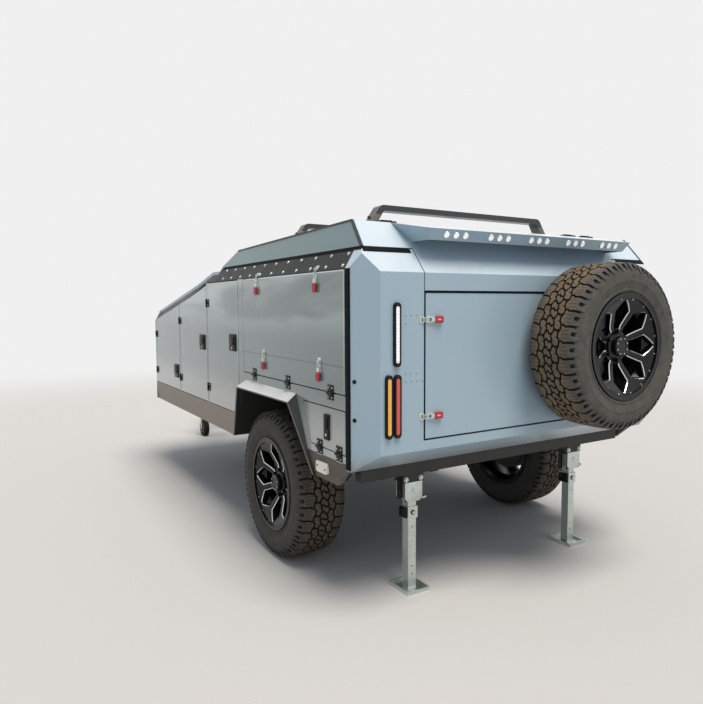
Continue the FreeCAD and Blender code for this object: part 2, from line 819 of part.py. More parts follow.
def save_jockey():
    save("jockey_outer", [jockey_outer()])
    save("jockey_inner", [jockey_inner()])
    save("jockey_fork", [jockey_fork()])
    save("jockey_wheel", [jockey_wheel()])


# Wheel arches

def arch_outline():
    return [
        (-arch_low_half, skirt_low_z), (arch_rear_x, arch_top_z),
        (arch_front_x, arch_top_z), (arch_low_half, skirt_low_z),
    ]


def arch_hole(depth, y0, y1):
    # The arch opening, open below, with its three sides moved inward by the depth.
    outline = inset(arch_outline(), depth)
    low = min(z for _, z in outline)
    corners = sorted(point for point in outline if point[1] > low + overrun)
    feet = sorted(point for point in outline if point[1] <= low + overrun)
    run = (corners[0][0] - feet[0][0]) / (corners[0][1] - feet[0][1])
    run_front = (feet[1][0] - corners[1][0]) / (corners[1][1] - feet[1][1])
    drop = low - skirt_low_z + rail_depth
    rear_foot = (feet[0][0] - run * drop, low - drop)
    front_foot = (feet[1][0] + run_front * drop, low - drop)
    return prism_along_y([rear_foot, corners[0], corners[1], front_foot], y0, y1)


def wheel_liner():
    band = prism_along_y(arch_outline(), liner_inner_y, half_width)
    band = band.cut(arch_hole(plate, liner_inner_y + plate, half_width + overrun))
    below_floor = block(-nose_side_x, nose_side_x, 0, liner_inner_y + plate, 0, floor_z)
    inside = arch_hole(plate, liner_inner_y - overrun, liner_inner_y + plate)
    return band.cut(below_floor.common(inside))


def fender():
    wedge_outline = [
        (half_width, skirt_low_z), (half_width, arch_top_z),
        (half_width + fender_reach, arch_top_z - fender_fall),
    ]
    far = half_width + fender_reach + overrun
    body = prism_along_y(arch_outline(), half_width, far)
    body = body.common(prism_along_x(wedge_outline, -arch_low_half, arch_low_half))
    thin_wedge = inset(wedge_outline, plate)
    back = [
        (half_width - overrun, min(z for _, z in thin_wedge)),
        (half_width - overrun, max(z for _, z in thin_wedge)),
    ]
    tip = max(thin_wedge)
    room = arch_hole(plate, half_width - overrun, far)
    room = room.common(prism_along_x([back[0], back[1], tip], -arch_low_half, arch_low_half))
    mouth_wedge = [
        (half_width - overrun, skirt_low_z - overrun), (half_width - overrun, arch_top_z - fender_lip * 2),
        (far, arch_top_z - fender_fall - fender_lip), (far, skirt_low_z - overrun),
    ]
    mouth = arch_hole(plate + fender_lip, half_width - overrun, far)
    mouth = mouth.common(prism_along_x(mouth_wedge, -arch_low_half, arch_low_half))
    return body.cut(room).cut(mouth)


# Rear end, one folded box that is cut into pillars, sill and lid tail

def rear_block(depth):
    outline = [
        (corner_side_x, half_width), (rear_face_x, corner_rear_y), (rear_face_x, -corner_rear_y),
        (corner_side_x, -half_width), (rail_rear_x, -half_width), (rail_rear_x, half_width),
    ]
    shape = prism_along_z(inset(outline, depth) if depth else outline, floor_z, slope_high_z)
    side = [
        (rear_face_x, chamfer_rear_z), (rear_face_x, slope_low_z), (slope_high_x, slope_high_z),
        (rail_front_x, slope_high_z), (rail_front_x, floor_z), (chamfer_front_x, floor_z),
    ]
    side_cut = prism_along_y(inset(side, depth) if depth else side, -half_width, half_width)
    return shape.common(side_cut)


def rear_shell():
    inner = rear_block(wall)
    reach = block(rail_rear_x - wall - overrun, rail_front_x, -half_width + wall, half_width - wall,
                  floor_z + wall, slope_high_z)
    return rear_block(0).cut([inner, reach])


def rear_frame():
    shell = rear_shell()
    shell = shell.common(block(rear_face_x, corner_side_x + post_width, -half_width, half_width,
                               floor_z, seam_z))
    doorway = block(rear_face_x - overrun, corner_side_x + post_width + overrun, -pillar_inner_y,
                    pillar_inner_y, rear_door_low_z - door_gap, slope_high_z)
    floor_cut = block(chamfer_front_x, rail_front_x, -half_width + wall, half_width - wall,
                      floor_z - overrun, floor_z + floor_thickness)
    band = prism_along_x(band_section(), rear_face_x, corner_side_x + post_width)
    bands = joined([band, mirrored(band)]).common(rear_block(0))
    return joined([shell.cut([doorway, floor_cut, band_cut()]), bands])


def band_section():
    return [
        (half_width, band_low_z), (half_width - band_lean, seam_z),
        (half_width - band_lean - wall, seam_z), (half_width - wall, band_low_z),
    ]


def band_cut():
    # What lies outside the leaning band along the top of both sides.
    outline = [
        (half_width, band_low_z), (half_width - band_lean, seam_z),
        (half_width - band_lean, seam_z + overrun), (half_width + overrun, seam_z + overrun),
        (half_width + overrun, band_low_z),
    ]
    left = prism_along_x(outline, rear_face_x - overrun, nose_face_x)
    return left.fuse(mirrored(left))


def lid_tail():
    shell = rear_shell()
    half = pillar_inner_y - tail_side_gap
    keep = block(rear_face_x, slope_high_x, -half, half, rear_door_top_z + seam_gap, seam_z + seam_gap)
    return shell.common(keep)


# Body sides

def side_wall(outline_xz):
    return prism_along_y(outline_xz, half_width - wall, half_width)


def arch_rear_edge_x(z):
    share = (z - skirt_low_z) / (arch_top_z - skirt_low_z)
    return -arch_low_half + share * (arch_rear_x + arch_low_half)


def arch_front_edge_x(z):
    share = (z - skirt_low_z) / (arch_top_z - skirt_low_z)
    return arch_low_half + share * (arch_front_x - arch_low_half)


def hatch_outline(gap):
    low_front = arch_rear_edge_x(hatch_low_z) - hatch_low_arch_gap
    top_front = arch_rear_edge_x(hatch_top_z) - hatch_top_arch_gap
    return [
        (hatch_rear_x - gap, hatch_low_z - gap), (low_front + gap, hatch_low_z - gap),
        (top_front + gap, hatch_top_z + gap), (hatch_rear_x - gap, hatch_top_z + gap),
    ]


def roof_z(x):
    if x <= roof_break_x:
        share = (x - roof_knee_x) / (roof_break_x - roof_knee_x)
        return roof_knee_z + share * (roof_break_z - roof_knee_z)
    return roof_break_z - roof_slope_share * (x - roof_break_x)


def front_door_outline(index, gap):
    rear = front_door_rear_xs[index] - gap
    front = front_door_front_xs[index] + gap
    low = door_low_z - gap
    top_front = roof_z(front) - front_rail_depth - door_gap + gap
    if index == 0:
        top = band_low_z - door_gap + gap
        slant_low = arch_front_edge_x(door_low_z) + door_arch_gap - gap
        return [(rear, top), (rear, door_slant_top_z - gap), (slant_low, low),
                (front, low), (front, top)]
    top_rear = roof_z(rear) - front_rail_depth - door_gap + gap
    outline = [(rear, top_rear), (rear, low), (front, low), (front, top_front)]
    if rear < roof_break_x < front:
        outline.append((roof_break_x, roof_break_z - front_rail_depth - door_gap + gap))
    return outline


def side_arch_panel():
    rear = corner_side_x + post_width
    front = front_door_rear_xs[0] - door_gap
    top = kitchen_low_z - door_gap
    outline = [
        (rear, panel_low_z), (front, panel_low_z), (front, top), (rear, top),
    ]
    panel = side_wall(outline)
    arch = prism_along_y(arch_outline(), half_width - wall - overrun, half_width + overrun)
    window = prism_along_y(hatch_outline(door_gap), half_width - wall - overrun, half_width + overrun)
    panel = panel.cut([arch, window])
    slant = prism_along_y(front_door_outline(0, door_gap), half_width - wall - overrun,
                          half_width + overrun)
    panel = panel.cut(slant)
    keep = max(panel.Solids, key=lambda solid: solid.Volume)
    knuckles = []
    for x in kitchen_hinge_xs:
        knuckles += hinge_body_side(x, kitchen_low_z - door_gap, hinge_leaf_width)
    for x in hatch_hinge_xs:
        knuckles += hinge_body_side(x, hatch_low_z - door_gap, hinge_leaf_width)
    return joined([keep] + knuckles)


def hinge_body_side(x, seam, leaf_width):
    # Leaf below the seam with the two end knuckles and the pin.
    third = hinge_length / 3
    y = half_width + hinge_offset
    leaf = block(x - hinge_length / 2, x + hinge_length / 2, half_width, half_width + hinge_leaf,
                 seam - leaf_width, seam - hinge_knuckle_radius - face_clearance)
    pieces = [leaf]
    for start in (-hinge_length / 2, third / 2):
        pieces.append(rod(hinge_knuckle_radius, vec(x + start, y, seam), vec(x + start + third, y, seam)))
        pieces.append(block(x + start, x + start + third, half_width, half_width + hinge_leaf,
                            seam - leaf_width, seam))
    pieces.append(rod(hinge_pin_radius, vec(x - hinge_length / 2, y, seam),
                      vec(x + hinge_length / 2, y, seam)))
    return pieces


def hinge_door_side(x, seam):
    # Leaf above the seam with the middle knuckle, bored for the pin.
    half = hinge_length / 6 - face_clearance
    y = half_width + hinge_offset
    knuckle = rod(hinge_knuckle_radius, vec(x - half, y, seam), vec(x + half, y, seam))
    web = block(x - half, x + half, half_width, half_width + hinge_leaf, seam, seam + hinge_leaf_width)
    leaf = block(x - hinge_length / 2, x + hinge_length / 2, half_width, half_width + hinge_leaf,
                 seam + hinge_knuckle_radius + face_clearance, seam + hinge_leaf_width)
    bore = rod(hinge_pin_radius + running_clearance, vec(x - hinge_length, y, seam),
               vec(x + hinge_length, y, seam))
    return joined([knuckle, web, leaf]).cut(bore)


def side_sill_front():
    section = [
        (half_width, sill_top_z), (half_width, panel_low_z), (half_width - skirt_lean, skirt_low_z),
        (half_width - skirt_lean - wall, skirt_low_z), (half_width - wall, panel_low_z),
        (half_width - wall, sill_top_z),
    ]
    sill = prism_along_x(section, front_door_rear_xs[0], nose_side_x)
    arch = prism_along_y(arch_outline(), half_width - wall * 2, half_width + overrun)
    slant = prism_along_y(front_door_outline(0, door_gap), half_width - wall * 2, half_width + overrun)
    sill = sill.cut([arch, slant, side_arch_panel_block()])
    return max(sill.Solids, key=lambda solid: solid.Volume)


def side_arch_panel_block():
    return block(corner_side_x, front_door_rear_xs[0] - door_gap, half_width - wall, half_width,
                 panel_low_z, kitchen_low_z)


def side_sill_rear():
    section = [
        (half_width, panel_low_z), (half_width - skirt_lean, skirt_low_z),
        (half_width - skirt_lean - wall, skirt_low_z), (half_width - wall, panel_low_z),
    ]
    skirt = prism_along_x(section, corner_side_x, -arch_low_half + post_width * 2)
    arch = prism_along_y(arch_outline(), half_width - wall * 2, half_width + overrun)
    rise = prism_along_y([(corner_side_x - overrun, skirt_low_z - overrun),
                          (corner_side_x + wall * 5, skirt_low_z - overrun),
                          (corner_side_x + wall * 5, skirt_low_z),
                          (corner_side_x, panel_low_z - plate), (corner_side_x - overrun, panel_low_z)],
                         half_width - wall * 2, half_width + overrun)
    corner = block(rear_face_x, corner_side_x + post_width, 0, half_width, floor_z, seam_z)
    return max(skirt.cut([arch, rise, corner]).Solids, key=lambda solid: solid.Volume)


def rail_outer_y(z):
    return half_width - band_lean * (z - band_low_z) / (seam_z - band_low_z)


def side_top_rail():
    # The leaning band over the doors, which bends down with the roof to the nose.
    rear = prism_along_x(band_section(), corner_side_x + post_width, lid_front_x)
    pieces = [rear]
    stations = (lid_front_x, roof_knee_x, roof_break_x, nose_side_x)
    for start, end in zip(stations, stations[1:]):
        pieces.append(sheared_rail(start, end))
    return joined(pieces)


def rail_section(x):
    top = roof_under_z(x)
    low = top - (seam_z - band_low_z) + roof_thickness
    if x <= roof_knee_x:
        low = band_low_z
    return [
        vec(x, half_width, low), vec(x, half_width - band_lean, top),
        vec(x, half_width - band_lean - wall, top), vec(x, half_width - wall, low),
    ]


def roof_under_z(x):
    if x <= roof_knee_x:
        return roof_knee_z - roof_thickness
    return roof_z(x) - roof_thickness


def sheared_rail(start, end):
    wires = [Part.makePolygon(rail_section(x) + rail_section(x)[:1]) for x in (start, end)]
    return Part.makeLoft(wires, True, True)


def side_posts():
    # The posts between the openings, each up to the rail above it.
    pieces = []
    top = band_low_z
    pieces.append(block(kitchen_front_x + door_gap, front_door_rear_xs[0] - door_gap, half_width - wall,
                        half_width, kitchen_low_z - door_gap, top))
    fronts = (front_door_rear_xs[1], front_door_rear_xs[2], nose_side_x + door_gap)
    for rear, front in zip(front_door_front_xs, fronts):
        x0 = rear + door_gap
        x1 = front - door_gap
        tops = [min(rail_section(x0)[0].z, band_low_z), min(rail_section(x1)[0].z, band_low_z)]
        outline = [(x0, sill_top_z), (x1, sill_top_z), (x1, tops[1]), (x0, tops[0])]
        pieces.append(side_wall(outline))
    return pieces


def front_roof():
    half = half_width - band_lean
    outline = [
        (lid_front_x + seam_gap, roof_knee_z - roof_thickness), (lid_front_x + seam_gap, roof_knee_z),
        (roof_knee_x, roof_knee_z), (roof_break_x, roof_break_z), (nose_side_x, nose_side_z),
        (nose_side_x, nose_side_z - roof_thickness), (roof_break_x, roof_break_z - roof_thickness),
        (roof_knee_x, roof_knee_z - roof_thickness),
    ]
    return joined([prism_along_y(outline, -half, half)] + lid_hinge_fixed())


def lid_hinge_knuckle(y0, y1, radius):
    return rod(radius, vec(lid_axis_x, y0, lid_axis_z), vec(lid_axis_x, y1, lid_axis_z))


def lid_hinge_fixed():
    # On the roof: two end knuckles on a leaf, and the pin through all three.
    pieces = []
    third = lid_hinge_length / 3
    for y in (-lid_hinge_y, 0, lid_hinge_y):
        low = y - lid_hinge_length / 2
        high = y + lid_hinge_length / 2
        leaf_front = lid_axis_x + hinge_leaf_width
        for y0, y1 in ((low, low + third), (high - third, high)):
            pieces.append(lid_hinge_knuckle(y0, y1, lid_knuckle_radius))
            pieces.append(block(lid_axis_x, leaf_front, y0, y1, roof_knee_z, roof_knee_z + hinge_leaf * 2))
        pieces.append(block(lid_axis_x + lid_knuckle_radius + face_clearance * 2, leaf_front, low, high,
                            roof_knee_z, roof_knee_z + hinge_leaf))
        pieces.append(lid_hinge_knuckle(low, high, hinge_pin_radius))
    return pieces


def lid_hinge_moving():
    # On the lid's front edge: the bored middle knuckle.
    pieces = []
    third = lid_hinge_length / 3
    for y in (-lid_hinge_y, 0, lid_hinge_y):
        y0 = y - third / 2 + face_clearance
        y1 = y + third / 2 - face_clearance
        knuckle = lid_hinge_knuckle(y0, y1, lid_knuckle_radius)
        web = block(lid_axis_x - lid_knuckle_radius * 2, lid_axis_x, y0, y1, lid_axis_z,
                    seam_z + seam_gap + hinge_leaf * 2)
        bore = lid_hinge_knuckle(low_end(y), high_end(y), hinge_pin_radius + running_clearance)
        pieces.append(joined([knuckle, web]).cut(bore))
    return pieces


def low_end(y):
    return y - lid_hinge_length / 2


def high_end(y):
    return y + lid_hinge_length / 2


def lid_seal():
    # A soft strip on the band under each side of the lid.
    outer = half_width - band_lean - (wall - seal_width) / 2
    return block(corner_side_x + post_width, lid_front_x - wall, outer - seal_width, outer,
                 seam_z, seam_z + seam_gap - face_clearance)


def nose_panel():
    # The blunt front with its two chamfered corners.
    outline = [
        (nose_side_x, half_width), (nose_face_x, nose_corner_y), (nose_face_x, -nose_corner_y),
        (nose_side_x, -half_width),
    ]
    solid = prism_along_z(outline, skirt_low_z, nose_side_z)
    inner = prism_along_z([
        (nose_side_x - overrun, half_width - wall), (nose_side_x, half_width - wall),
        (nose_face_x - wall, nose_corner_y - wall / 2), (nose_face_x - wall, -nose_corner_y + wall / 2),
        (nose_side_x, -half_width + wall), (nose_side_x - overrun, -half_width + wall),
    ], skirt_low_z - overrun, nose_side_z - roof_thickness * 2)
    top = prism_along_y([
        (nose_side_x - overrun, nose_side_z + roof_slope_share * overrun),
        (nose_face_x + overrun, nose_face_z - roof_slope_share * overrun),
        (nose_face_x + overrun, nose_side_z + overrun), (nose_side_x - overrun, nose_side_z + overrun),
    ], -half_width, half_width)
    band = prism_along_x([
        (half_width, nose_side_z - roof_thickness - front_rail_depth),
        (half_width - band_lean, nose_side_z), (half_width - band_lean, nose_side_z + overrun),
        (half_width + overrun, nose_side_z + overrun),
        (half_width + overrun, nose_side_z - roof_thickness - front_rail_depth),
    ], nose_side_x - overrun, nose_face_x + overrun)
    notch_half = drawbar_root_y + drawbar_width
    notch = block(nose_side_x - overrun, nose_face_x + overrun, -notch_half, notch_half,
                  skirt_low_z - overrun, floor_z)
    return solid.cut([inner, top, notch, band, mirrored(band)])


def sills():
    return both_sides(side_sill_front()) + both_sides(side_sill_rear())


def floor():
    half = half_width - wall
    plate_shape = block(chamfer_front_x, nose_side_x, -half, half, floor_z, floor_z + floor_thickness)
    arch = prism_along_y(arch_outline(), liner_inner_y, half_width)
    return plate_shape.cut([arch, mirrored(arch)] + sills())


def bulkheads():
    half = half_width - wall
    pieces = []
    xs = [kitchen_front_x + door_gap, front_door_front_xs[0] + door_gap, front_door_front_xs[1] + door_gap]
    arch = prism_along_y(arch_outline(), liner_inner_y, half_width)
    rails = [side_top_rail(), mirrored(side_top_rail())]
    tops = (deck_z, deck_z, roof_under_z(xs[2] + bulkhead_thickness))
    for x, top in zip(xs, tops):
        wall_shape = block(x, x + bulkhead_thickness, -half, half, floor_z + floor_thickness, top)
        wall_shape = wall_shape.cut([arch, mirrored(arch)] + rails + sills())
        pieces.append(max(wall_shape.Solids, key=lambda solid: solid.Volume))
    return pieces


def bed_deck():
    # The deck's edges follow the lean of the top rails, and it carries the sleeping space.
    low = rail_outer_y(deck_z) - wall
    high = rail_outer_y(deck_z + deck_thickness) - wall
    outline = [(low, deck_z), (high, deck_z + deck_thickness), (-high, deck_z + deck_thickness),
               (-low, deck_z)]
    return prism_along_x(outline, corner_side_x + post_width, lid_front_x - deck_thickness)


def save_body():
    save("wheel_liners", both_sides(wheel_liner()))
    save("fenders", both_sides(fender()))
    save("rear_frame", [rear_frame()])
    save("side_arch_panels", both_sides(side_arch_panel()))
    save("side_sills", sills())
    save("side_top_rails", both_sides(side_top_rail()))
    posts = side_posts() + door_hinge_posts()
    posts = [solid for solid in merge_touching(posts)]
    save("side_posts", posts + [mirrored(post) for post in posts])
    save("front_roof", [front_roof()])
    save("nose_panel", [nose_panel()])
    save("floor", [floor()])
    save("bulkheads", bulkheads())
    save("bed_deck", [bed_deck()])


def merge_touching(shapes):
    return joined(shapes).Solids


# Doors on the sides

def door_hinge_zs(index):
    low = door_low_z + hinge_length * 2
    top = roof_z(front_door_front_xs[index]) - front_rail_depth - hinge_length * 2
    return (low, top - hinge_length / 2)


def upright_hinge(lying_hinge, x, z):
    # A hinge of the lying kind, turned upright about its own middle.
    upright = turned(lying_hinge, vec(0, half_width, 0), vec(0, 1, 0), 270)
    return moved(upright, x, 0, z)


def door_hinge_posts():
    # The leaf is narrow where a thin post parts two doors.
    pieces = []
    leaf_widths = (post_leaf_width, post_leaf_width, hinge_leaf_width)
    for index, leaf_width in enumerate(leaf_widths):
        x = front_door_front_xs[index] + door_gap / 2
        lying_hinge = joined(hinge_body_side(0, 0, leaf_width))
        for z in door_hinge_zs(index):
            pieces.append(upright_hinge(lying_hinge, x, z))
    return pieces


def paddle_latch(x, z, width, height):
    return block(x - width / 2, x + width / 2, half_width, half_width + paddle_depth,
                 z - height / 2, z + height / 2)


def front_door(index):
    panel = side_wall(front_door_outline(index, 0))
    x = front_door_front_xs[index] + door_gap / 2
    pieces = [panel]
    for z in door_hinge_zs(index):
        pieces.append(upright_hinge(hinge_door_side(0, 0), x, z))
    latch_x = front_door_rear_xs[index] + paddle_edge + paddle_size / 2
    pieces.append(paddle_latch(latch_x, front_latch_zs[index], paddle_size, paddle_size))
    return joined(pieces)


def hatch():
    panel = side_wall(hatch_outline(0))
    pieces = [panel, paddle_latch(slam_latch_x, slam_latch_z, slam_latch_width, slam_latch_height)]
    for x in hatch_hinge_xs:
        pieces.append(hinge_door_side(x, hatch_low_z - door_gap))
    return joined(pieces)


def kitchen_door():
    panel = block(kitchen_rear_x, kitchen_front_x, half_width - wall, half_width, kitchen_low_z,
                  kitchen_top_z)
    split = block(kitchen_rear_x - overrun, kitchen_front_x + overrun, half_width - groove,
                  half_width + overrun, kitchen_split_z, kitchen_split_z + groove)
    pieces = [panel.cut(split)]
    for x in kitchen_hinge_xs:
        pieces.append(hinge_door_side(x, kitchen_low_z - door_gap))
    return joined(pieces)


def toggle(centre, along):
    # A base plate with a raised lever, along Z on the side and along Y at the rear.
    half = toggle_width / 2
    base = block(-half, half, 0, toggle_depth / 3, -toggle_length / 2, toggle_length / 2)
    lever_half = half * toggle_lever_share
    lever = block(-lever_half, lever_half, 0, toggle_depth, -toggle_length / 2, 0)
    shape = joined([base, lever])
    if along == "y":
        shape = turned(shape, vec(0, 0, 0), vec(0, 0, 1), 90)
        shape = turned(shape, vec(0, 0, 0), vec(1, 0, 0), 270)
    return moved(shape, centre.x, centre.y, centre.z)


def kitchen_latches():
    upper_z = kitchen_top_z - toggle_length / 2
    lower_z = kitchen_split_z - toggle_length / 2 + toggle_depth
    pieces = [toggle(vec(x, half_width, upper_z), "z") for x in kitchen_upper_latch_xs]
    pieces += [toggle(vec(x, half_width, lower_z), "z") for x in kitchen_lower_latch_xs]
    return pieces


def save_side_doors():
    for index in range(len(front_door_front_xs)):
        door = front_door(index)
        save("front_door_left_" + str(index + 1), [door])
        save("front_door_right_" + str(index + 1), [mirrored(door)])
    save("hatch_left", [hatch()])
    save("hatch_right", [mirrored(hatch())])
    for side, place in (("left", lambda shape: shape), ("right", mirrored)):
        save("drop_door_" + side, [place(kitchen_door())])
        save("drop_latches_" + side, [place(latch) for latch in kitchen_latches()])


# Rear door with the spare wheel carrier

def rear_hinge_barrel(z, radius, length):
    return rod(radius, vec(rear_axis_x, rear_axis_y, z - length / 2),
               vec(rear_axis_x, rear_axis_y, z + length / 2))


def rear_door():
    panel = block(rear_face_x, rear_face_x + wall, -rear_door_half, rear_door_half, rear_door_low_z,
                  rear_door_top_z)
    pieces = [panel]
    third = rear_barrel_length / 3
    for z in rear_hinge_zs:
        half = rear_strap_width / 2
        strap = block(rear_face_x - rear_strap_thickness, rear_face_x, -rear_door_half,
                      -rear_door_half + rear_strap_width * 3, z - half / 2, z + half / 2)
        arm = block(rear_axis_x, rear_face_x, rear_axis_y, -rear_door_half + rear_strap_thickness,
                    z - third / 2 + face_clearance, z + third / 2 - face_clearance)
        arm = arm.cut(block(rear_axis_x - overrun, rear_face_x + overrun, rear_axis_y - overrun,
                            rear_axis_y, z - third, z + third))
        barrel = rear_hinge_barrel(z, rear_barrel_radius, third - face_clearance * 2)
        pieces += [strap, arm.cut(block(rear_face_x - rear_strap_thickness, rear_face_x, rear_axis_y,
                                        -rear_door_half - door_gap, z - third, z + third)), barrel]
    door = joined(pieces)
    bores = [rear_hinge_barrel(z, rear_pin_radius + running_clearance, rear_barrel_length * 2)
             for z in rear_hinge_zs]
    return door.cut(bores)


def rear_hinges():
    # Two brackets on the right pillar, each with a pin between its two lugs.
    pieces = []
    third = rear_barrel_length / 3
    for z in rear_hinge_zs:
        top = z + rear_barrel_length / 2
        low = z - rear_barrel_length / 2
        base = block(rear_face_x - rear_strap_thickness, rear_face_x,
                     rear_axis_y - rear_strap_width - rear_barrel_radius,
                     rear_axis_y - rear_barrel_radius - face_clearance, low, top)
        parts = [base, rear_hinge_barrel(z, rear_pin_radius, rear_barrel_length)]
        for z0, z1 in ((low, z - third / 2), (z + third / 2, top)):
            parts.append(rod(rear_barrel_radius, vec(rear_axis_x, rear_axis_y, z0),
                             vec(rear_axis_x, rear_axis_y, z1)))
            parts.append(block(rear_axis_x, rear_face_x, rear_axis_y - rear_barrel_radius - rear_strap_thickness,
                               rear_axis_y - rear_barrel_radius / 2, z0, z1))
        pieces.append(joined(parts))
    return pieces


def spare_carrier():
    half = carrier_plate / 2
    face = rear_face_x
    pad = spare_x - pad_offset
    base = block(face - carrier_plate_thickness, face, spare_y - half, spare_y + half, spare_z - half,
                 spare_z + half)
    tube = rod(carrier_tube_radius, vec(face, spare_y, spare_z), vec(pad, spare_y, spare_z))
    flange = rod(carrier_tube_radius * 2, vec(pad + carrier_plate_thickness * 2, spare_y, spare_z),
                 vec(pad, spare_y, spare_z))
    return joined([base, tube, flange])


def rear_latches():
    y = rear_door_half - toggle_length / 2
    return [toggle(vec(rear_face_x, y, z), "y") for z in rear_latch_zs]


def save_rear_door():
    save("rear_door", [rear_door()])
    save("rear_hinges", rear_hinges())
    save("spare_carrier", [spare_carrier()])
    save("rear_latches", rear_latches())


# Lid

def lid_block(depth, low_z):
    side = [
        (rear_face_x + slope_share * (low_z - slope_low_z), low_z), (slope_high_x, slope_high_z),
        (lid_top_front_x, lid_top_front_z), (lid_front_x, low_z),
    ]
    top_half = lid_low_half - lid_draft_share * (slope_high_z - low_z)
    cross = [(lid_low_half, low_z), (top_half, slope_high_z), (-top_half, slope_high_z),
             (-lid_low_half, low_z)]
    if depth:
        side = inset(side, depth)
        cross = inset(cross, depth)
    profile = prism_along_y(side, -half_width, half_width)
    return profile.common(prism_along_x(cross, rear_face_x, nose_side_x))


def lid_shell():
    low = seam_z + seam_gap
    outer = lid_block(0, low)
    inner = lid_block(lid_wall, low - lid_wall * 2)
    return joined([outer.cut(inner)] + lid_hinge_moving())


def lid_top_z(x):
    share = (x - slope_high_x) / (lid_top_front_x - slope_high_x)
    return slope_high_z + share * (lid_top_front_z - slope_high_z)


def visor_outline(extra):
    # Top sheet, lip, and back along the slope of the tail. The extra runs past both open sides.
    top_run = (slope_high_z - visor_edge_z) / (slope_high_x - visor_edge_x)
    lip_run = (visor_lip_x - visor_edge_x) / (visor_edge_z - visor_lip_z)
    back_x = rear_face_x + slope_share * (visor_lip_z - slope_low_z)
    return [
        (slope_high_x + extra, slope_high_z + extra * top_run), (visor_edge_x, visor_edge_z),
        (visor_lip_x + extra * lip_run, visor_lip_z - extra), (back_x + extra, visor_lip_z - extra),
    ]


def visor_end_y(x, z):
    # The closed ends lean in, from the root at the lid to the outer edge and on to the lip.
    edge_y = lid_low_half - visor_edge_inset
    root_x, root_z = slope_high_x - visor_edge_x, slope_high_z - visor_edge_z
    lip_x, lip_z = visor_lip_x - visor_edge_x, visor_lip_z - visor_edge_z
    root_y = visor_edge_inset - visor_root_inset
    lip_y = visor_edge_inset - visor_lip_inset
    area = root_x * lip_z - root_z * lip_x
    y_along_x = (root_y * lip_z - root_z * lip_y) / area
    y_along_z = (root_x * lip_y - root_y * lip_x) / area
    return edge_y + (x - visor_edge_x) * y_along_x + (z - visor_edge_z) * y_along_z


def between_visor_ends(outline, depth):
    # The outline as a prism whose two ends follow the lean, each moved inward by the depth.
    sides = []
    for side in (1, -1):
        points = [vec(x, side * (visor_end_y(x, z) - depth), z) for x, z in outline]
        sides.append(Part.makePolygon(points + points[:1]))
    return Part.makeLoft(sides, True, True)


def visor():
    # The sheet runs on from the lid's rear edge, with a lip and two closed ends.
    solid = between_visor_ends(visor_outline(0), 0)
    hollow = between_visor_ends(inset(visor_outline(wall), visor_sheet), visor_sheet)
    shell = solid.cut([hollow, lid_block(0, seam_z + seam_gap)])
    shell = max(shell.Solids, key=lambda item: item.Volume)
    return shell.cut([rod_through_lip(y, visor_lamp_radius) for y in lamp_ys()])


def lip_normal():
    along = vec(visor_lip_x - visor_edge_x, 0, visor_lip_z - visor_edge_z)
    along.normalize()
    return vec(along.z, 0, -along.x)


def lamp_ys():
    groups = [share * visor_group_y for share in visor_group_shares]
    return [group + offset * visor_lamp_pitch for group in groups for offset in (-1, 0, 1)]


def rod_through_lip(y, radius):
    middle = vec((visor_edge_x + visor_lip_x) / 2, y, (visor_edge_z + visor_lip_z) / 2)
    return rod(radius, middle - lip_normal() * overrun, middle + lip_normal() * overrun)


def visor_lamps():
    lamps = []
    for y in lamp_ys():
        middle = vec((visor_edge_x + visor_lip_x) / 2, y, (visor_edge_z + visor_lip_z) / 2)
        lamps.append(rod(visor_lamp_radius, middle - lip_normal() * visor_lamp_depth,
                         middle + lip_normal() * (visor_lamp_depth / 2)))
    return lamps


def roof_bars():
    low = lid_top_z(max(bar_xs) + bar_width) - overrun
    inner_y = bar_bend_y - bar_inner_bend_inset
    outline = [
        (-bar_foot_y, low), (-bar_bend_y, bar_top_z), (bar_bend_y, bar_top_z), (bar_foot_y, low),
        (bar_foot_y - bar_foot_width, low), (inner_y, bar_top_z - bar_height),
        (-inner_y, bar_top_z - bar_height), (-bar_foot_y + bar_foot_width, low),
    ]
    lid = lid_block(0, seam_z)
    bars = []
    for x in bar_xs:
        bar = prism_along_x(outline, x - bar_width / 2, x + bar_width / 2)
        bar = rounded_bends(bar, bar_top_z, bar_bend_radius)
        bar = rounded_bends(bar, bar_top_z - bar_height, bar_inner_radius)
        bars.append(bar.cut(lid))
    return bars


def rounded_bends(bar, z, radius):
    # The edges that run along X at one height are the bends.
    bends = []
    for edge in bar.Edges:
        ends = edge.BoundBox
        if abs(ends.ZMin - z) < face_clearance and abs(ends.ZMax - z) < face_clearance:
            if ends.YLength < face_clearance:
                bends.append(edge)
    return bar.makeFillet(radius, bends)


def save_lid():
    save("lid_shell", [lid_shell()])
    save("lid_tail", [lid_tail()])
    save("lid_seals", both_sides(lid_seal()))
    save("visor", [visor()])
    save("visor_lamps", visor_lamps())
    save("roof_bars", roof_bars())


# Lamps

def upright_stadium(x0, x1, y, z, width, height):
    radius = width / 2
    reach = height / 2 - radius
    middle = block(x0, x1, y - radius, y + radius, z - reach, z + reach)
    ends = [rod(radius, vec(x0, y, z + end), vec(x1, y, z + end)) for end in (-reach, reach)]
    return joined([middle] + ends)


def lamp_places():
    return {
        "clear": (lamp_clear_y, lamp_clear_z),
        "amber": (lamp_amber_y, lamp_colour_z),
        "red": (lamp_red_y, lamp_colour_z),
    }


def lamp_bezel(y, z):
    outer = upright_stadium(rear_face_x - lamp_depth, rear_face_x, y, z, lamp_width, lamp_height)
    frame_width = lamp_width - lamp_lens_width
    inner = upright_stadium(rear_face_x - lamp_depth - overrun, rear_face_x + overrun, y, z,
                            lamp_lens_width, lamp_height - frame_width)
    return outer.cut(inner)


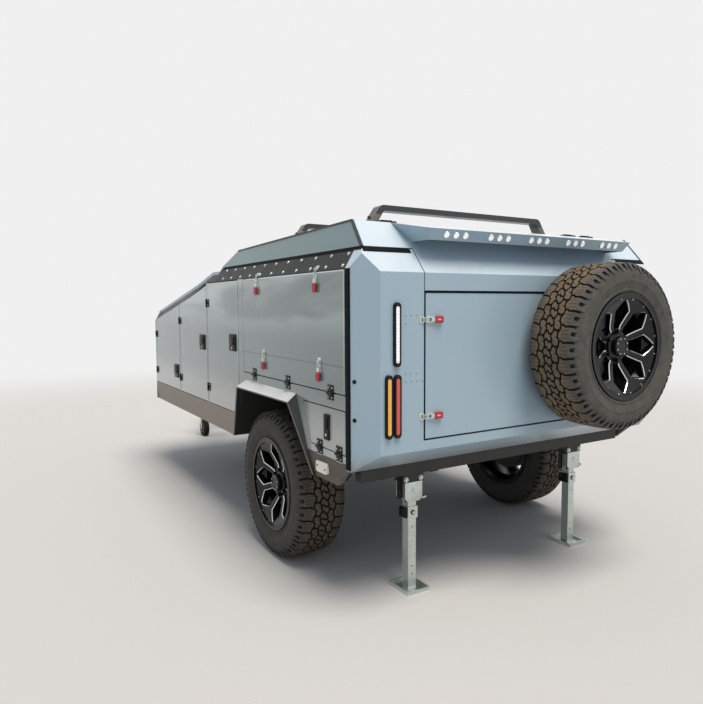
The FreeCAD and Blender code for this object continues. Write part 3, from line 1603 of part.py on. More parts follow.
def lamp_lens(y, z):
    width = lamp_lens_width - face_clearance * 2
    return upright_stadium(rear_face_x - lamp_depth - lamp_lens_proud, rear_face_x, y, z,
                           width, lamp_height - lamp_width + width)


def marker_lamp():
    depth_share = (panel_low_z - marker_z) / (panel_low_z - skirt_low_z)
    face = half_width - skirt_lean * depth_share
    body = block(marker_x - marker_width / 2, marker_x + marker_width / 2, face - marker_depth,
                 face + marker_depth, marker_z - marker_height / 2, marker_z + marker_height / 2)
    corners = [edge for edge in body.Edges
               if abs(edge.tangentAt(edge.FirstParameter).y) > axis_match_share]
    return body.makeFillet(marker_round, corners).cut(side_sill_rear())


def save_lamps():
    places = lamp_places()
    bezels = []
    for y, z in places.values():
        bezels += both_sides(lamp_bezel(y, z))
    save("lamp_bezels", bezels)
    save("lamps_clear", both_sides(lamp_lens(*places["clear"])))
    save("lamps_amber", both_sides(lamp_lens(*places["amber"])))
    save("lamps_red", both_sides(lamp_lens(*places["red"])))
    save("marker_lamps", both_sides(marker_lamp()))


def main():
    os.makedirs("parts", exist_ok=True)
    save_wheels()
    save_running_gear()
    save_chassis()
    save_legs()
    save_jockey()
    save_body()
    save_side_doors()
    save_rear_door()
    save_lid()
    save_lamps()


main()
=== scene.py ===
"""Off-road hard-lid camper trailer: finishes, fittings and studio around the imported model."""

import json
import logging
import math
from collections.abc import Callable, Iterator, Sequence
from contextlib import contextmanager
from dataclasses import dataclass
from enum import Enum

import bmesh
import bpy
from mathutils import Matrix, Vector


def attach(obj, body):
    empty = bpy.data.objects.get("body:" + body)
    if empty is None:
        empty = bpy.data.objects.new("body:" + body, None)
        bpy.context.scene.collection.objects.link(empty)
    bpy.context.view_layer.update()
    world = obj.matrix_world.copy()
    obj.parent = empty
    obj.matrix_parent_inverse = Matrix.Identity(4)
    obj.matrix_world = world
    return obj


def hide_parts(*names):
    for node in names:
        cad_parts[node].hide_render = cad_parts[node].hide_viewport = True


LOG = logging.getLogger("camper")
MM = 0.001

Piece = bpy.types.Object
Tree = bpy.types.NodeTree
Socket = bpy.types.NodeSocket
Pair = tuple[float, float]
Triple = tuple[float, float, float]
Outline = tuple[Pair, ...]

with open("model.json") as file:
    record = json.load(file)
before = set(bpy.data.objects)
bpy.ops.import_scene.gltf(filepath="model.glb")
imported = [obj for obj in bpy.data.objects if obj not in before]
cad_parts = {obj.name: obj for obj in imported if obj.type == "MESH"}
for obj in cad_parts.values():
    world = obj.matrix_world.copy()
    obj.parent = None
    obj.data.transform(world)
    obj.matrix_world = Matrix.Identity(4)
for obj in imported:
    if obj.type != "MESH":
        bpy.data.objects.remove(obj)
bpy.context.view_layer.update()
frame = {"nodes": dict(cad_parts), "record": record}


def linear(hex_colour: str, alpha: float = 1.0) -> tuple[float, float, float, float]:
    """Turn an sRGB hex colour into linear light.

    Args:
        hex_colour: Six hex digits, with or without a leading hash.
        alpha: Opacity to append.

    Returns:
        Red, green, blue and alpha as a shader socket takes them.
    """
    digits = hex_colour.lstrip("#")
    channels = [int(digits[i:i + 2], 16) / 255 for i in (0, 2, 4)]
    light = [c / 12.92 if c <= 0.04045 else ((c + 0.055) / 1.055) ** 2.4 for c in channels]
    return light[0], light[1], light[2], alpha


def add_node(tree: Tree, kind: str, links: dict | None = None,
             stops: Sequence[tuple[float, str]] = (), **settings: object) -> bpy.types.Node:
    """Add one shader node with its settings and links.

    Args:
        tree: The material's or world's node tree.
        kind: The node's type name, without ShaderNode in front.
        links: Input name or index to an output socket, to a node whose first output is meant, to a
            hex colour or to a plain value.
        stops: Positions and hex colours, for a colour ramp.
        settings: Properties of the node itself.

    Returns:
        The new node.
    """
    node = tree.nodes.new("ShaderNode" + kind)
    for name, value in settings.items():
        setattr(node, name, value)
    for place, value in (links or {}).items():
        if isinstance(value, (Socket, bpy.types.Node)):
            source = value.outputs[0] if isinstance(value, bpy.types.Node) else value
            tree.links.new(source, node.inputs[place])
        else:
            node.inputs[place].default_value = linear(value) if isinstance(value, str) else value
    if stops:
        ramp = node.color_ramp
        while len(ramp.elements) < len(stops):
            ramp.elements.new(1.0)
        for element, (position, colour) in zip(ramp.elements, stops):
            element.position = position
            element.color = linear(colour)
    return node


def empty_material(name: str) -> bpy.types.Material:
    """Make a node material with nothing in its tree.

    Args:
        name: The material's name.

    Returns:
        The new material.
    """
    material = bpy.data.materials.new(name)
    material.use_nodes = True
    material.node_tree.nodes.clear()
    return material


def per_metre(millimetres: float) -> float:
    """Return the texture scale whose pattern repeats at this size."""
    return 1.0 / (millimetres * MM)


@dataclass(frozen=True)
class PaintedSheet:
    """Powder-coated sheet: even colour, orange peel that breaks up its gloss, a film of dust.

    A second, paler colour in long soft clouds along the sheet is a painted reflection of the
    surroundings. A film is a pale painted sheen of the sky, with some dust, on what faces up; it is
    left out as painted shade where something shelters it. The splash is road dirt that fades out
    with height, and on the rear's lower chamfer it is painted shade as well.
    """

    name: str
    colour: str
    dust_colour: str
    roughness: float = 0.3
    peel_mm: float = 5.0
    peel_depth_mm: float = 0.03
    sheet_wave_mm: float = 0.0
    sheet_wave_length_mm: float = 190.0
    dust: float = 0.25
    dust_patch_mm: float = 240.0
    coat: float = 0.0
    specular: float = 0.5
    painted_reflection_colour: str = ""
    painted_reflection: float = 0.0
    painted_reflection_z: float = 1430.0
    painted_reflection_reach: float = 300.0
    cloud_mm: float = 850.0
    sheen_and_dust_colour: str = ""
    film: float = 0.0
    sheen_and_dust_slope: Pair = (0.25, 0.8)
    occlusion_mm: float = 0.0
    dirt_and_shade_colour: str = ""
    dirt_and_shade_top_z: float = 0.0
    dirt_and_shade_low_z: float = 0.0
    spatter_mm: float = 60.0

    def with_painted_reflection(self, tree: Tree, place: Socket, tint: Socket) -> Socket:
        """Blend in the painted reflection: long clouds round one height that thin out from there.

        Args:
            tree: The material's tree.
            place: Object coordinates.
            tint: The paint's colour so far.

        Returns:
            The blended colour.
        """
        # Pale clouds painted into the colour stand in for the gloss mirroring its surroundings.
        long = add_node(tree, "Mapping", {"Vector": place, "Scale": (0.8, 1.0, 4.6)})
        cloud = add_node(tree, "TexNoise", {
            "Vector": long, "Scale": per_metre(self.cloud_mm), "Detail": 3.0, "Roughness": 0.45,
            "Distortion": 0.5})
        share = add_node(tree, "MapRange", {
            "Value": cloud, "From Min": 0.32, "From Max": 0.54, "To Max": self.painted_reflection},
            interpolation_type="SMOOTHSTEP")
        height = add_node(tree, "SeparateXYZ", {"Vector": place}).outputs["Z"]
        away = add_node(tree, "Math", {0: height, 1: self.painted_reflection_z * MM}, operation="SUBTRACT")
        away = add_node(tree, "Math", {0: away}, operation="ABSOLUTE")
        near = add_node(tree, "MapRange", {
            "Value": away, "From Max": self.painted_reflection_reach * MM, "To Min": 1.0, "To Max": 0.0},
            interpolation_type="SMOOTHSTEP")
        share = add_node(tree, "Math", {0: share, 1: near}, operation="MULTIPLY")
        both = add_node(tree, "Mix", {"Factor": share, 6: tint, 7: self.painted_reflection_colour}, data_type="RGBA")
        return both.outputs[2]

    def with_sheen_and_dust(self, tree: Tree, patches: Socket, tint: Socket) -> Socket:
        """Blend in a painted sheen with dust on faces turned up, and painted shade where sheltered.

        Args:
            tree: The material's tree.
            patches: The noise that breaks up all dust on this paint.
            tint: The paint's colour so far.

        Returns:
            The blended colour.
        """
        # Faces turned up get a pale painted sky sheen, broken up a little by the dust patches.
        facing = add_node(tree, "NewGeometry").outputs["Normal"]
        up = add_node(tree, "SeparateXYZ", {"Vector": facing}).outputs["Z"]
        lying = add_node(tree, "MapRange", {
            "Value": up, "From Min": self.sheen_and_dust_slope[0], "From Max": self.sheen_and_dust_slope[1],
            "To Max": self.film}, interpolation_type="SMOOTHSTEP")
        broken = add_node(tree, "MapRange", {
            "Value": patches, "From Min": 0.2, "From Max": 0.7, "To Min": 0.75, "To Max": 1.0})
        share = add_node(tree, "Math", {0: lying, 1: broken}, operation="MULTIPLY")
        # A sheltered face gets no pale sheen: the sheen left out there paints its shade.
        if self.occlusion_mm:
            sky = add_node(tree, "AmbientOcclusion", {"Distance": self.occlusion_mm * MM}, samples=6)
            unshaded = add_node(tree, "MapRange", {
                "Value": sky.outputs["AO"], "From Min": 0.6, "From Max": 0.93})
            share = add_node(tree, "Math", {0: share, 1: unshaded}, operation="MULTIPLY")
        both = add_node(tree, "Mix", {"Factor": share, 6: tint, 7: self.sheen_and_dust_colour}, data_type="RGBA")
        return both.outputs[2]

    def with_dirt_and_shade(self, tree: Tree, place: Socket, tint: Socket) -> Socket:
        """Blend in road dirt low down, which on the rear's lower chamfer is painted shade as well.

        Args:
            tree: The material's tree.
            place: Object coordinates, with Z as the height above the ground.
            tint: The paint's colour so far.

        Returns:
            The blended colour.
        """
        height = add_node(tree, "SeparateXYZ", {"Vector": place}).outputs["Z"]
        spatter = add_node(tree, "TexNoise", {
            "Vector": place, "Scale": per_metre(self.spatter_mm), "Detail": 8.0, "Roughness": 0.7})
        ragged = add_node(tree, "Math", {
            0: spatter, 1: self.spatter_mm * MM, 2: height}, operation="MULTIPLY_ADD")
        share = add_node(tree, "MapRange", {
            "Value": ragged, "From Min": self.dirt_and_shade_low_z * MM, "From Max": self.dirt_and_shade_top_z * MM,
            "To Min": 0.85, "To Max": 0.0}, interpolation_type="SMOOTHSTEP")
        both = add_node(tree, "Mix", {"Factor": share, 6: tint, 7: self.dirt_and_shade_colour}, data_type="RGBA")
        return both.outputs[2]

    def material(self) -> bpy.types.Material:
        """Build the coated sheet's material.

        Returns:
            The material.
        """
        result = empty_material(self.name)
        tree = result.node_tree
        place = add_node(tree, "TexCoord").outputs["Object"]
        patches = add_node(tree, "TexNoise", {
            "Vector": place, "Scale": per_metre(self.dust_patch_mm), "Detail": 6.0, "Roughness": 0.62})
        film = add_node(tree, "MapRange", {
            "Value": patches, "From Min": 0.35, "From Max": 0.8, "To Max": self.dust})
        tint = add_node(tree, "Mix", {
            "Factor": film, 6: self.colour, 7: self.dust_colour}, data_type="RGBA")
        colour = tint.outputs[2]
        if self.painted_reflection:
            colour = self.with_painted_reflection(tree, place, colour)
        if self.film:
            colour = self.with_sheen_and_dust(tree, patches.outputs["Fac"], colour)
        if self.dirt_and_shade_colour:
            colour = self.with_dirt_and_shade(tree, place, colour)
        dull = add_node(tree, "MapRange", {
            "Value": patches, "From Min": 0.3, "From Max": 0.8, "To Min": self.roughness,
            "To Max": self.roughness + 0.18})
        peel = add_node(tree, "TexNoise", {
            "Vector": place, "Scale": per_metre(self.peel_mm), "Detail": 2.0})
        relief = add_node(tree, "Bump", {
            "Height": peel, "Distance": self.peel_depth_mm * MM, "Strength": 0.6})
        if self.sheet_wave_mm:
            wave = add_node(tree, "TexNoise", {
                "Vector": place, "Scale": per_metre(self.sheet_wave_length_mm), "Detail": 1.5,
                "Roughness": 0.4})
            relief = add_node(tree, "Bump", {
                "Height": wave, "Distance": self.sheet_wave_mm * MM, "Strength": 1.0, "Normal": relief})
        shader = add_node(tree, "BsdfPrincipled", {
            "Base Color": colour, "Roughness": dull, "Normal": relief, "Coat Weight": self.coat,
            "Coat Roughness": 0.08, "Specular IOR Level": self.specular})
        add_node(tree, "OutputMaterial", {"Surface": shader})
        return result


@dataclass(frozen=True)
class BareMetal:
    """Plated, milled or mill-finish metal: mirror light broken up by its crystals and scuffs."""

    name: str
    colour: str
    dark_colour: str
    roughness: float = 0.35
    grain_mm: float = 7.0
    relief_mm: float = 0.02

    def material(self) -> bpy.types.Material:
        """Build the metal's material.

        Returns:
            The material.
        """
        result = empty_material(self.name)
        tree = result.node_tree
        place = add_node(tree, "TexCoord").outputs["Object"]
        crystals = add_node(tree, "TexVoronoi", {"Vector": place, "Scale": per_metre(self.grain_mm)})
        scuffs = add_node(tree, "TexNoise", {
            "Vector": place, "Scale": per_metre(self.grain_mm * 6), "Detail": 5.0})
        shade = add_node(tree, "Mix", {
            "Factor": 0.5, 6: crystals.outputs["Color"], 7: scuffs.outputs["Color"]}, data_type="RGBA")
        level = add_node(tree, "RGBToBW", {"Color": shade.outputs[2]})
        tint = add_node(tree, "Mix", {
            "Factor": level, 6: self.dark_colour, 7: self.colour}, data_type="RGBA")
        dull = add_node(tree, "MapRange", {
            "Value": level, "To Min": self.roughness + 0.12, "To Max": max(self.roughness - 0.08,
            0.05)})
        relief = add_node(tree, "Bump", {
            "Height": scuffs, "Distance": self.relief_mm * MM, "Strength": 0.6})
        shader = add_node(tree, "BsdfPrincipled", {
            "Base Color": tint.outputs[2], "Metallic": 1.0, "Roughness": dull, "Normal": relief})
        add_node(tree, "OutputMaterial", {"Surface": shader})
        return result


@dataclass(frozen=True)
class MouldedRubber:
    """Vulcanised rubber or EPDM strip: matt, with road dust lying in its fine mould texture."""

    name: str
    colour: str
    dust_colour: str
    roughness: float = 0.8
    dust: float = 0.5
    dust_patch_mm: float = 45.0
    grain_mm: float = 2.5
    grain_depth_mm: float = 0.1
    groove_shade_colour: str = ""
    crown_colour: str = ""
    specular: float = 0.35

    def material(self) -> bpy.types.Material:
        """Build the rubber's material. A tyre's grooves are painted darker than its block tops, as shade.

        Returns:
            The material.
        """
        result = empty_material(self.name)
        tree = result.node_tree
        place = add_node(tree, "TexCoord").outputs["Object"]
        dirt = add_node(tree, "TexNoise", {
            "Vector": place, "Scale": per_metre(self.dust_patch_mm), "Detail": 7.0, "Roughness": 0.7})
        lying = add_node(tree, "MapRange", {
            "Value": dirt, "From Min": 0.3, "From Max": 0.75, "To Max": self.dust})
        tint = add_node(tree, "Mix", {
            "Factor": lying, 6: self.colour, 7: self.dust_colour}, data_type="RGBA")
        grain = add_node(tree, "TexNoise", {
            "Vector": place, "Scale": per_metre(self.grain_mm), "Detail": 3.0})
        relief = add_node(tree, "Bump", {
            "Height": grain, "Distance": self.grain_depth_mm * MM, "Strength": 0.5})
        if self.crown_colour:
            crown = add_node(tree, "Attribute", attribute_name="crown_dust")
            dry = add_node(tree, "MapRange", {
                "Value": dirt, "From Min": 0.3, "From Max": 0.7, "To Min": 0.45})
            share = add_node(tree, "Math", {0: crown.outputs["Fac"], 1: dry}, operation="MULTIPLY")
            tint = add_node(tree, "Mix", {
                "Factor": share, 6: tint.outputs[2], 7: self.crown_colour}, data_type="RGBA")
        # Grooves and the carcass between blocks are painted dark: painted shade in the recesses.
        if self.groove_shade_colour:
            height = add_node(tree, "Attribute", attribute_name="tread_height")
            height_share = add_node(tree, "MapRange", {
                "Value": height.outputs["Fac"], "From Min": 0.8, "From Max": 1.0})
            tint = add_node(tree, "Mix", {
                "Factor": height_share, 6: self.groove_shade_colour, 7: tint.outputs[2]}, data_type="RGBA")
        shader = add_node(tree, "BsdfPrincipled", {
            "Base Color": tint.outputs[2], "Roughness": self.roughness, "Normal": relief,
            "Specular IOR Level": self.specular})
        add_node(tree, "OutputMaterial", {"Surface": shader})
        return result


@dataclass(frozen=True)
class MouldedPlastic:
    """Injection-moulded ABS or polycarbonate, from a dull grain to a clear ribbed lens."""

    name: str
    colour: str
    deep_colour: str
    roughness: float = 0.4
    rib_mm: float = 0.0
    coat: float = 0.0
    glow: float = 0.0
    specular: float = 0.5
    grain_mm: float = 1.5
    grain_depth_mm: float = 0.04
    rib_depth_mm: float = 0.5

    def material(self) -> bpy.types.Material:
        """Build the plastic's material.

        Returns:
            The material.
        """
        result = empty_material(self.name)
        tree = result.node_tree
        place = add_node(tree, "TexCoord").outputs["Object"]
        if self.rib_mm:
            # The inner ribs of a lens run across it and show as fine light and dark bars.
            pattern = add_node(tree, "TexWave", {
                "Vector": place, "Scale": per_metre(self.rib_mm) / math.tau}, bands_direction="Z")
        else:
            pattern = add_node(tree, "TexNoise", {
                "Vector": place, "Scale": per_metre(self.grain_mm), "Detail": 2.0})
        tint = add_node(tree, "Mix", {
            "Factor": pattern.outputs["Fac"], 6: self.deep_colour, 7: self.colour}, data_type="RGBA")
        relief = add_node(tree, "Bump", {
            "Height": pattern.outputs["Fac"], "Strength": 0.5,
            "Distance": (self.rib_depth_mm if self.rib_mm else self.grain_depth_mm) * MM})
        lit = {"Emission Color": tint.outputs[2], "Emission Strength": self.glow} if self.glow else {}
        shader = add_node(tree, "BsdfPrincipled", lit | {
            "Base Color": tint.outputs[2], "Roughness": self.roughness, "Normal": relief,
            "Coat Weight": self.coat, "Coat Roughness": 0.05, "Specular IOR Level": self.specular})
        add_node(tree, "OutputMaterial", {"Surface": shader})
        return result


@dataclass(frozen=True)
class Plywood:
    """Birch plywood board with an oiled face: long soft grain along the board."""

    name: str
    colour: str
    grain_colour: str
    grain_mm: float = 9.0

    def material(self) -> bpy.types.Material:
        """Build the board's material.

        Returns:
            The material.
        """
        result = empty_material(self.name)
        tree = result.node_tree
        place = add_node(tree, "TexCoord").outputs["Object"]
        along = add_node(tree, "Mapping", {"Vector": place, "Scale": (0.06, 1.0, 1.0)})
        grain = add_node(tree, "TexNoise", {
            "Vector": along, "Scale": per_metre(self.grain_mm), "Detail": 6.0, "Distortion": 0.6})
        tint = add_node(tree, "ValToRGB", {
            "Fac": grain}, stops=((0.35, self.grain_colour), (0.62, self.colour)))
        relief = add_node(tree, "Bump", {"Height": grain, "Distance": 0.1 * MM, "Strength": 0.4})
        shader = add_node(tree, "BsdfPrincipled", {
            "Base Color": tint, "Roughness": 0.55, "Normal": relief})
        add_node(tree, "OutputMaterial", {"Surface": shader})
        return result


class Finish(Enum):
    """Every finish on the trailer."""

    # Semi-gloss powder coat in blue grey: soft broad highlights on flat folded sheet. Faces turned up
    # are pale with a painted sky sheen and some dust, and painted shade where the visor shelters them;
    # the dark colour low on the rear is road dirt and painted shade.
    BODY_PAINT = PaintedSheet("blue_grey_powder_coat", "#98AFBE", "#AFBBC0", 0.3, dust=0.2, coat=0.25,
                              sheen_and_dust_colour="#E2EDF6", film=0.85, occlusion_mm=300.0, dirt_and_shade_colour="#6E6A63",
                              dirt_and_shade_top_z=770.0, dirt_and_shade_low_z=640.0)
    # The same sheet under a wet gloss: long soft pale clouds painted in as its reflection of the
    # surroundings, a faint painted sheen with dust on faces turned up, and paler low down.
    SIDE_PAINT = PaintedSheet("grey_green_gloss_coat", "#707D7E", "#818B89", 0.16, sheet_wave_mm=1.2,
                              dust=0.25, coat=0.6, painted_reflection_colour="#C6D0D0", painted_reflection=0.8,
                              sheen_and_dust_colour="#A9B4B6", film=0.3, dirt_and_shade_colour="#B2B5B3",
                              dirt_and_shade_top_z=1000.0, dirt_and_shade_low_z=780.0)
    # Lid sides in a darker, greener tone than the rear.
    LID_SIDE_PAINT = PaintedSheet("lid_side_coat", "#768F92", "#87989A", 0.25, dust=0.25, coat=0.3,
                                  sheet_wave_mm=0.8)
    BAND_PAINT = PaintedSheet("dark_green_band_coat", "#0D1415", "#2B3431", 0.4, coat=0.05, specular=0.25)
    # Stone-chip coat low on the sides, brown with road dust.
    SKIRT_PAINT = PaintedSheet("stone_grey_skirt_coat", "#847A71", "#9A9083", 0.45, dust=0.6,
                               dust_patch_mm=90.0)
    # The same coat, darker, on the sills behind the wheels.
    REAR_SKIRT_PAINT = PaintedSheet("dark_rear_skirt_coat", "#56514A", "#6B655C", 0.5, dust=0.6,
                                    dust_patch_mm=90.0, specular=0.3)
    # Satin grey fender: its dark flanks, and on top a pale painted sky sheen with some dust.
    FENDER_PAINT = PaintedSheet("satin_grey_fender_coat", "#343638", "#504F4D", 0.3, dust=0.35, coat=0.2,
                                sheen_and_dust_colour="#E6E9EA", film=0.95, sheen_and_dust_slope=(0.55, 0.85))
    CHASSIS_PAINT = PaintedSheet("black_chassis_coat", "#1B1C1D", "#5A5650", 0.5, dust=0.35)
    LINER_PLASTIC = PaintedSheet("black_arch_liner", "#101112", "#3C3934", 0.65, dust=0.4)
    RIM_BLACK = PaintedSheet("gloss_black_alloy", "#070708", "#1F1D1B", 0.24, coat=0.1, dust=0.15,
                             specular=0.3)
    # Dark anodised bars with a pale painted sheen on top, on grey cast feet.
    BAR_BLACK = PaintedSheet("anodised_dark_bar", "#26292A", "#383B3C", 0.3, peel_mm=2.0, dust=0.2,
                             coat=0.2, sheen_and_dust_colour="#8A908E", film=0.3)
    FOOT_GREY = PaintedSheet("grey_cast_bar_foot", "#5E5955", "#78726D", 0.45, dust=0.4)
    TRIM_BLACK = PaintedSheet("dark_edge_trim", "#262F34", "#414B4F", 0.35, peel_mm=3.0, dust=0.25,
                              coat=0.1, specular=0.3)
    ZINC = BareMetal("zinc_plated_steel", "#DEE5E1", "#AFBAB5", 0.4)
    MILLED = BareMetal("milled_aluminium", "#E4E6E8", "#C3C6CA", 0.2, 3.0)
    SHEET_LINING = BareMetal("mill_finish_sheet", "#A8ABAD", "#8C8F92", 0.45, 12.0)
    DRUM = PaintedSheet("silver_drum_casting", "#8A8C8D", "#6E6A64", 0.5, dust=0.5)
    # Tan dust on the crown, a greyer sidewall, and grooves painted dark as their shade.
    TYRE = MouldedRubber("dusty_tyre_rubber", "#3F3F3D", "#65625B", dust=0.65, groove_shade_colour="#0F0E0D",
                         crown_colour="#786853")
    # The road tyres are the spare's rubber painted darker, as painted shade under the fenders.
    ROAD_TYRE = MouldedRubber("shaded_road_tyre_rubber", "#333331", "#55524E", dust=0.6,
                              groove_shade_colour="#0B0A0A", crown_colour="#5B4F42")
    SEAL = MouldedRubber("epdm_seal", "#060B0E", "#14191C", 0.6, 0.2, specular=0.08)
    BLACK_PLASTIC = MouldedPlastic("grained_black_abs", "#121619", "#0A0D0F", 0.4, specular=0.2)
    RED_PLASTIC = MouldedPlastic("red_grip_sleeve", "#C0303C", "#98202E", 0.35)
    WHITE_PLASTIC = MouldedPlastic("opal_marker_lens", "#F1EEE2", "#DAD6C8", 0.25, coat=0.5)
    CLEAR_LENS = MouldedPlastic("clear_ribbed_lens", "#F2F3F8", "#CDD0DA", 0.12, 4.0, 0.8, 0.12)
    # White lamp glass of the visor row, lit from inside by its reflector.
    VISOR_LENS = MouldedPlastic("white_visor_lens", "#FFFFFF", "#F2F5F8", 0.2, coat=0.6, glow=0.35)
    AMBER_LENS = MouldedPlastic("amber_lens", "#EDB045", "#DC9C33", 0.12, 0.0, 0.8, 0.1)
    RED_LENS = MouldedPlastic("red_lens", "#D24838", "#BE3628", 0.12, 0.0, 0.8, 0.1)
    PLYWOOD = Plywood("birch_plywood", "#B99565", "#8A6A41")


MADE: dict[Finish, bpy.types.Material] = {}
ROW_SHIFT = Matrix.Translation((-1.27125, 0.0, 0.0))
MIRROR_Y = Matrix.Scale(-1.0, 4, (0.0, 1.0, 0.0))
SIDES: dict[str, Matrix] = {"left": Matrix.Identity(4), "right": MIRROR_Y}


def dress(piece: Piece, finish: Finish) -> Piece:
    """Give a piece one finish all over.

    Args:
        piece: The object whose slots are replaced.
        finish: The finish, built the first time it is used.

    Returns:
        The same piece.
    """
    if finish not in MADE:
        MADE[finish] = finish.value.material()
    piece.data.materials.clear()
    piece.data.materials.append(MADE[finish])
    return piece


def alone(*pieces: Piece) -> None:
    """Select these pieces and nothing else, with the first one active.

    Args:
        pieces: The pieces to select.
    """
    bpy.ops.object.select_all(action="DESELECT")
    for piece in pieces:
        piece.select_set(True)
    bpy.context.view_layer.objects.active = pieces[0]


@contextmanager
def editing(piece: Piece, kind: str = "FACE") -> Iterator[None]:
    """Hold one piece open in edit mode, with nothing selected at the start.

    Args:
        piece: The object to shape.
        kind: VERT, EDGE or FACE selection.
    """
    alone(piece)
    bpy.ops.object.mode_set(mode="EDIT")
    bpy.ops.mesh.select_mode(type=kind)
    bpy.ops.mesh.select_all(action="DESELECT")
    yield
    bpy.ops.object.mode_set(mode="OBJECT")


def choose(piece: Piece, kind: str, test: Callable[[object], bool]) -> None:
    """Select the elements of an open piece that pass a test.

    Args:
        piece: The object in edit mode.
        kind: verts, edges or faces.
        test: Called with each element.
    """
    bpy.ops.mesh.select_all(action="DESELECT")
    mesh = bmesh.from_edit_mesh(piece.data)
    for element in getattr(mesh, kind):
        if test(element):
            element.select_set(True)
    mesh.select_flush_mode()
    bmesh.update_edit_mesh(piece.data)


def push(x: float, y: float, z: float) -> None:
    """Extrude what is selected by a distance in millimetres."""
    bpy.ops.mesh.extrude_region_move(TRANSFORM_OT_translate={"value": (x * MM, y * MM, z * MM)})


def box(low: Sequence[float], high: Sequence[float], round_mm: float = 0.0) -> Piece:
    """Add a cube primitive between two corners and round its edges.

    Args:
        low: Lowest corner in millimetres from the axle.
        high: Highest corner.
        round_mm: Width of the rounded edges, or zero.

    Returns:
        The new object, at the origin with its place in its mesh.
    """
    middle = [(a + b) / 2 * MM for a, b in zip(low, high)]
    size = [(b - a) * MM for a, b in zip(low, high)]
    bpy.ops.mesh.primitive_cube_add(size=1, location=middle, scale=size)
    piece = bpy.context.object
    alone(piece)
    bpy.ops.object.transform_apply(location=True, rotation=True, scale=True)
    return rounded(piece, round_mm) if round_mm else piece


def rod(radius: float, start: Sequence[float], end: Sequence[float], round_mm: float = 0.0,
        sides: int = 24) -> Piece:
    """Add a cylinder primitive between two points and round its rims.

    Args:
        radius: In millimetres.
        start: Middle of one end, in millimetres from the axle.
        end: Middle of the other end.
        round_mm: Width of the rounded rims, or zero.
        sides: Number of sides: six makes a nut.

    Returns:
        The new object, at the origin with its place in its mesh.
    """
    a, b = Vector(start) * MM, Vector(end) * MM
    turn = (b - a).to_track_quat("Z", "Y").to_euler()
    bpy.ops.mesh.primitive_cylinder_add(vertices=sides, radius=radius * MM, depth=(b - a).length,
                                        location=(a + b) / 2, rotation=turn)
    piece = bpy.context.object
    alone(piece)
    bpy.ops.object.transform_apply(location=True, rotation=True, scale=True)
    return rounded(piece, round_mm) if round_mm else piece


def rounded(piece: Piece, width: float, segments: int = 2, angle: float = 35.0) -> Piece:
    """Round a piece's sharp edges with an applied bevel.

    Args:
        piece: The object.
        width: Width of the rounding in millimetres.
        segments: Faces across the rounding.
        angle: Least angle in degrees between faces at a rounded edge.

    Returns:
        The same piece.
    """
    alone(piece)
    bevel = piece.modifiers.new("edge_round", "BEVEL")
    bevel.width = width * MM
    bevel.segments = segments
    bevel.limit_method = "ANGLE"
    bevel.angle_limit = math.radians(angle)
    bpy.ops.object.modifier_apply(modifier=bevel.name)
    return piece


def cut_by(piece: Piece, cutter: Piece) -> Piece:
    """Take one piece's room out of another with an applied boolean, and remove the cutter.

    Args:
        piece: The piece that is cut.
        cutter: The piece whose room goes.

    Returns:
        The cut piece.
    """
    alone(piece)
    boolean = piece.modifiers.new("cut", "BOOLEAN")
    boolean.operation = "DIFFERENCE"
    boolean.solver = "EXACT"
    boolean.object = cutter
    bpy.ops.object.modifier_apply(modifier=boolean.name)
    bpy.data.objects.remove(cutter)
    return piece


def spun(profile: Sequence[Pair], steps: int, about: str = "Y") -> Piece:
    """Draw a profile by extruding one point along it, and spin it round the wheel's axis.

    Args:
        profile: Radius and place along the axis of each point, in millimetres.
        steps: Number of steps round the circle.
        about: Y for a wheel, Z for an upright tube.

    Returns:
        The new object round the origin.
    """
    upright = about == "Z"
    bpy.ops.mesh.primitive_plane_add(size=MM)
    piece = bpy.context.object
    alone(piece)
    with editing(piece, "VERT"):
        bpy.ops.mesh.select_all(action="SELECT")
        bpy.ops.mesh.merge(type="CENTER")
        last = Vector((0.0, 0.0, 0.0))
        for number, (radius, along) in enumerate(profile):
            point = Vector((radius, 0.0, along) if upright else (radius, along, 0.0)) * MM
            if number:
                bpy.ops.mesh.extrude_region_move(TRANSFORM_OT_translate={"value": point - last})
            else:
                bpy.ops.transform.translate(value=point)
            last = point
        bpy.ops.mesh.select_all(action="SELECT")
        bpy.ops.mesh.spin(steps=steps, angle=math.tau, center=(0, 0, 0),
                          axis=(0, 0, 1) if upright else (0, 1, 0))
        bpy.ops.mesh.select_all(action="SELECT")
        bpy.ops.mesh.remove_doubles(threshold=0.00001)
        bpy.ops.mesh.normals_make_consistent(inside=False)
    return piece


def slab(outline: Sequence[Pair], depth: float, chamfer: float = 0.0) -> Piece:
    """Shape a filled circle primitive to an outline in X and Y and extrude it up.

    Args:
        outline: Corners in millimetres, counter-clockwise seen from above.
        depth: Height in millimetres.
        chamfer: Width of the chamfer round its top, or zero.

    Returns:
        The new object, standing on Z zero.
    """
    bpy.ops.mesh.primitive_circle_add(vertices=len(outline), radius=1, fill_type="NGON")
    piece = bpy.context.object
    alone(piece)
    for vertex, (x, y) in zip(piece.data.vertices, outline):
        vertex.co = (x * MM, y * MM, 0.0)
    with editing(piece):
        bpy.ops.mesh.select_all(action="SELECT")
        push(0, 0, depth - chamfer)
        if chamfer:
            bpy.ops.mesh.inset(thickness=chamfer * MM, depth=chamfer * MM)
        bpy.ops.mesh.select_all(action="SELECT")
        bpy.ops.mesh.normals_make_consistent(inside=False)
    return piece


def share_between(value: float, ends: Pair) -> float:
    """Return how far a value has come from one end to the other, from zero to one."""
    return min(max((value - ends[0]) / (ends[1] - ends[0]), 0.0), 1.0)


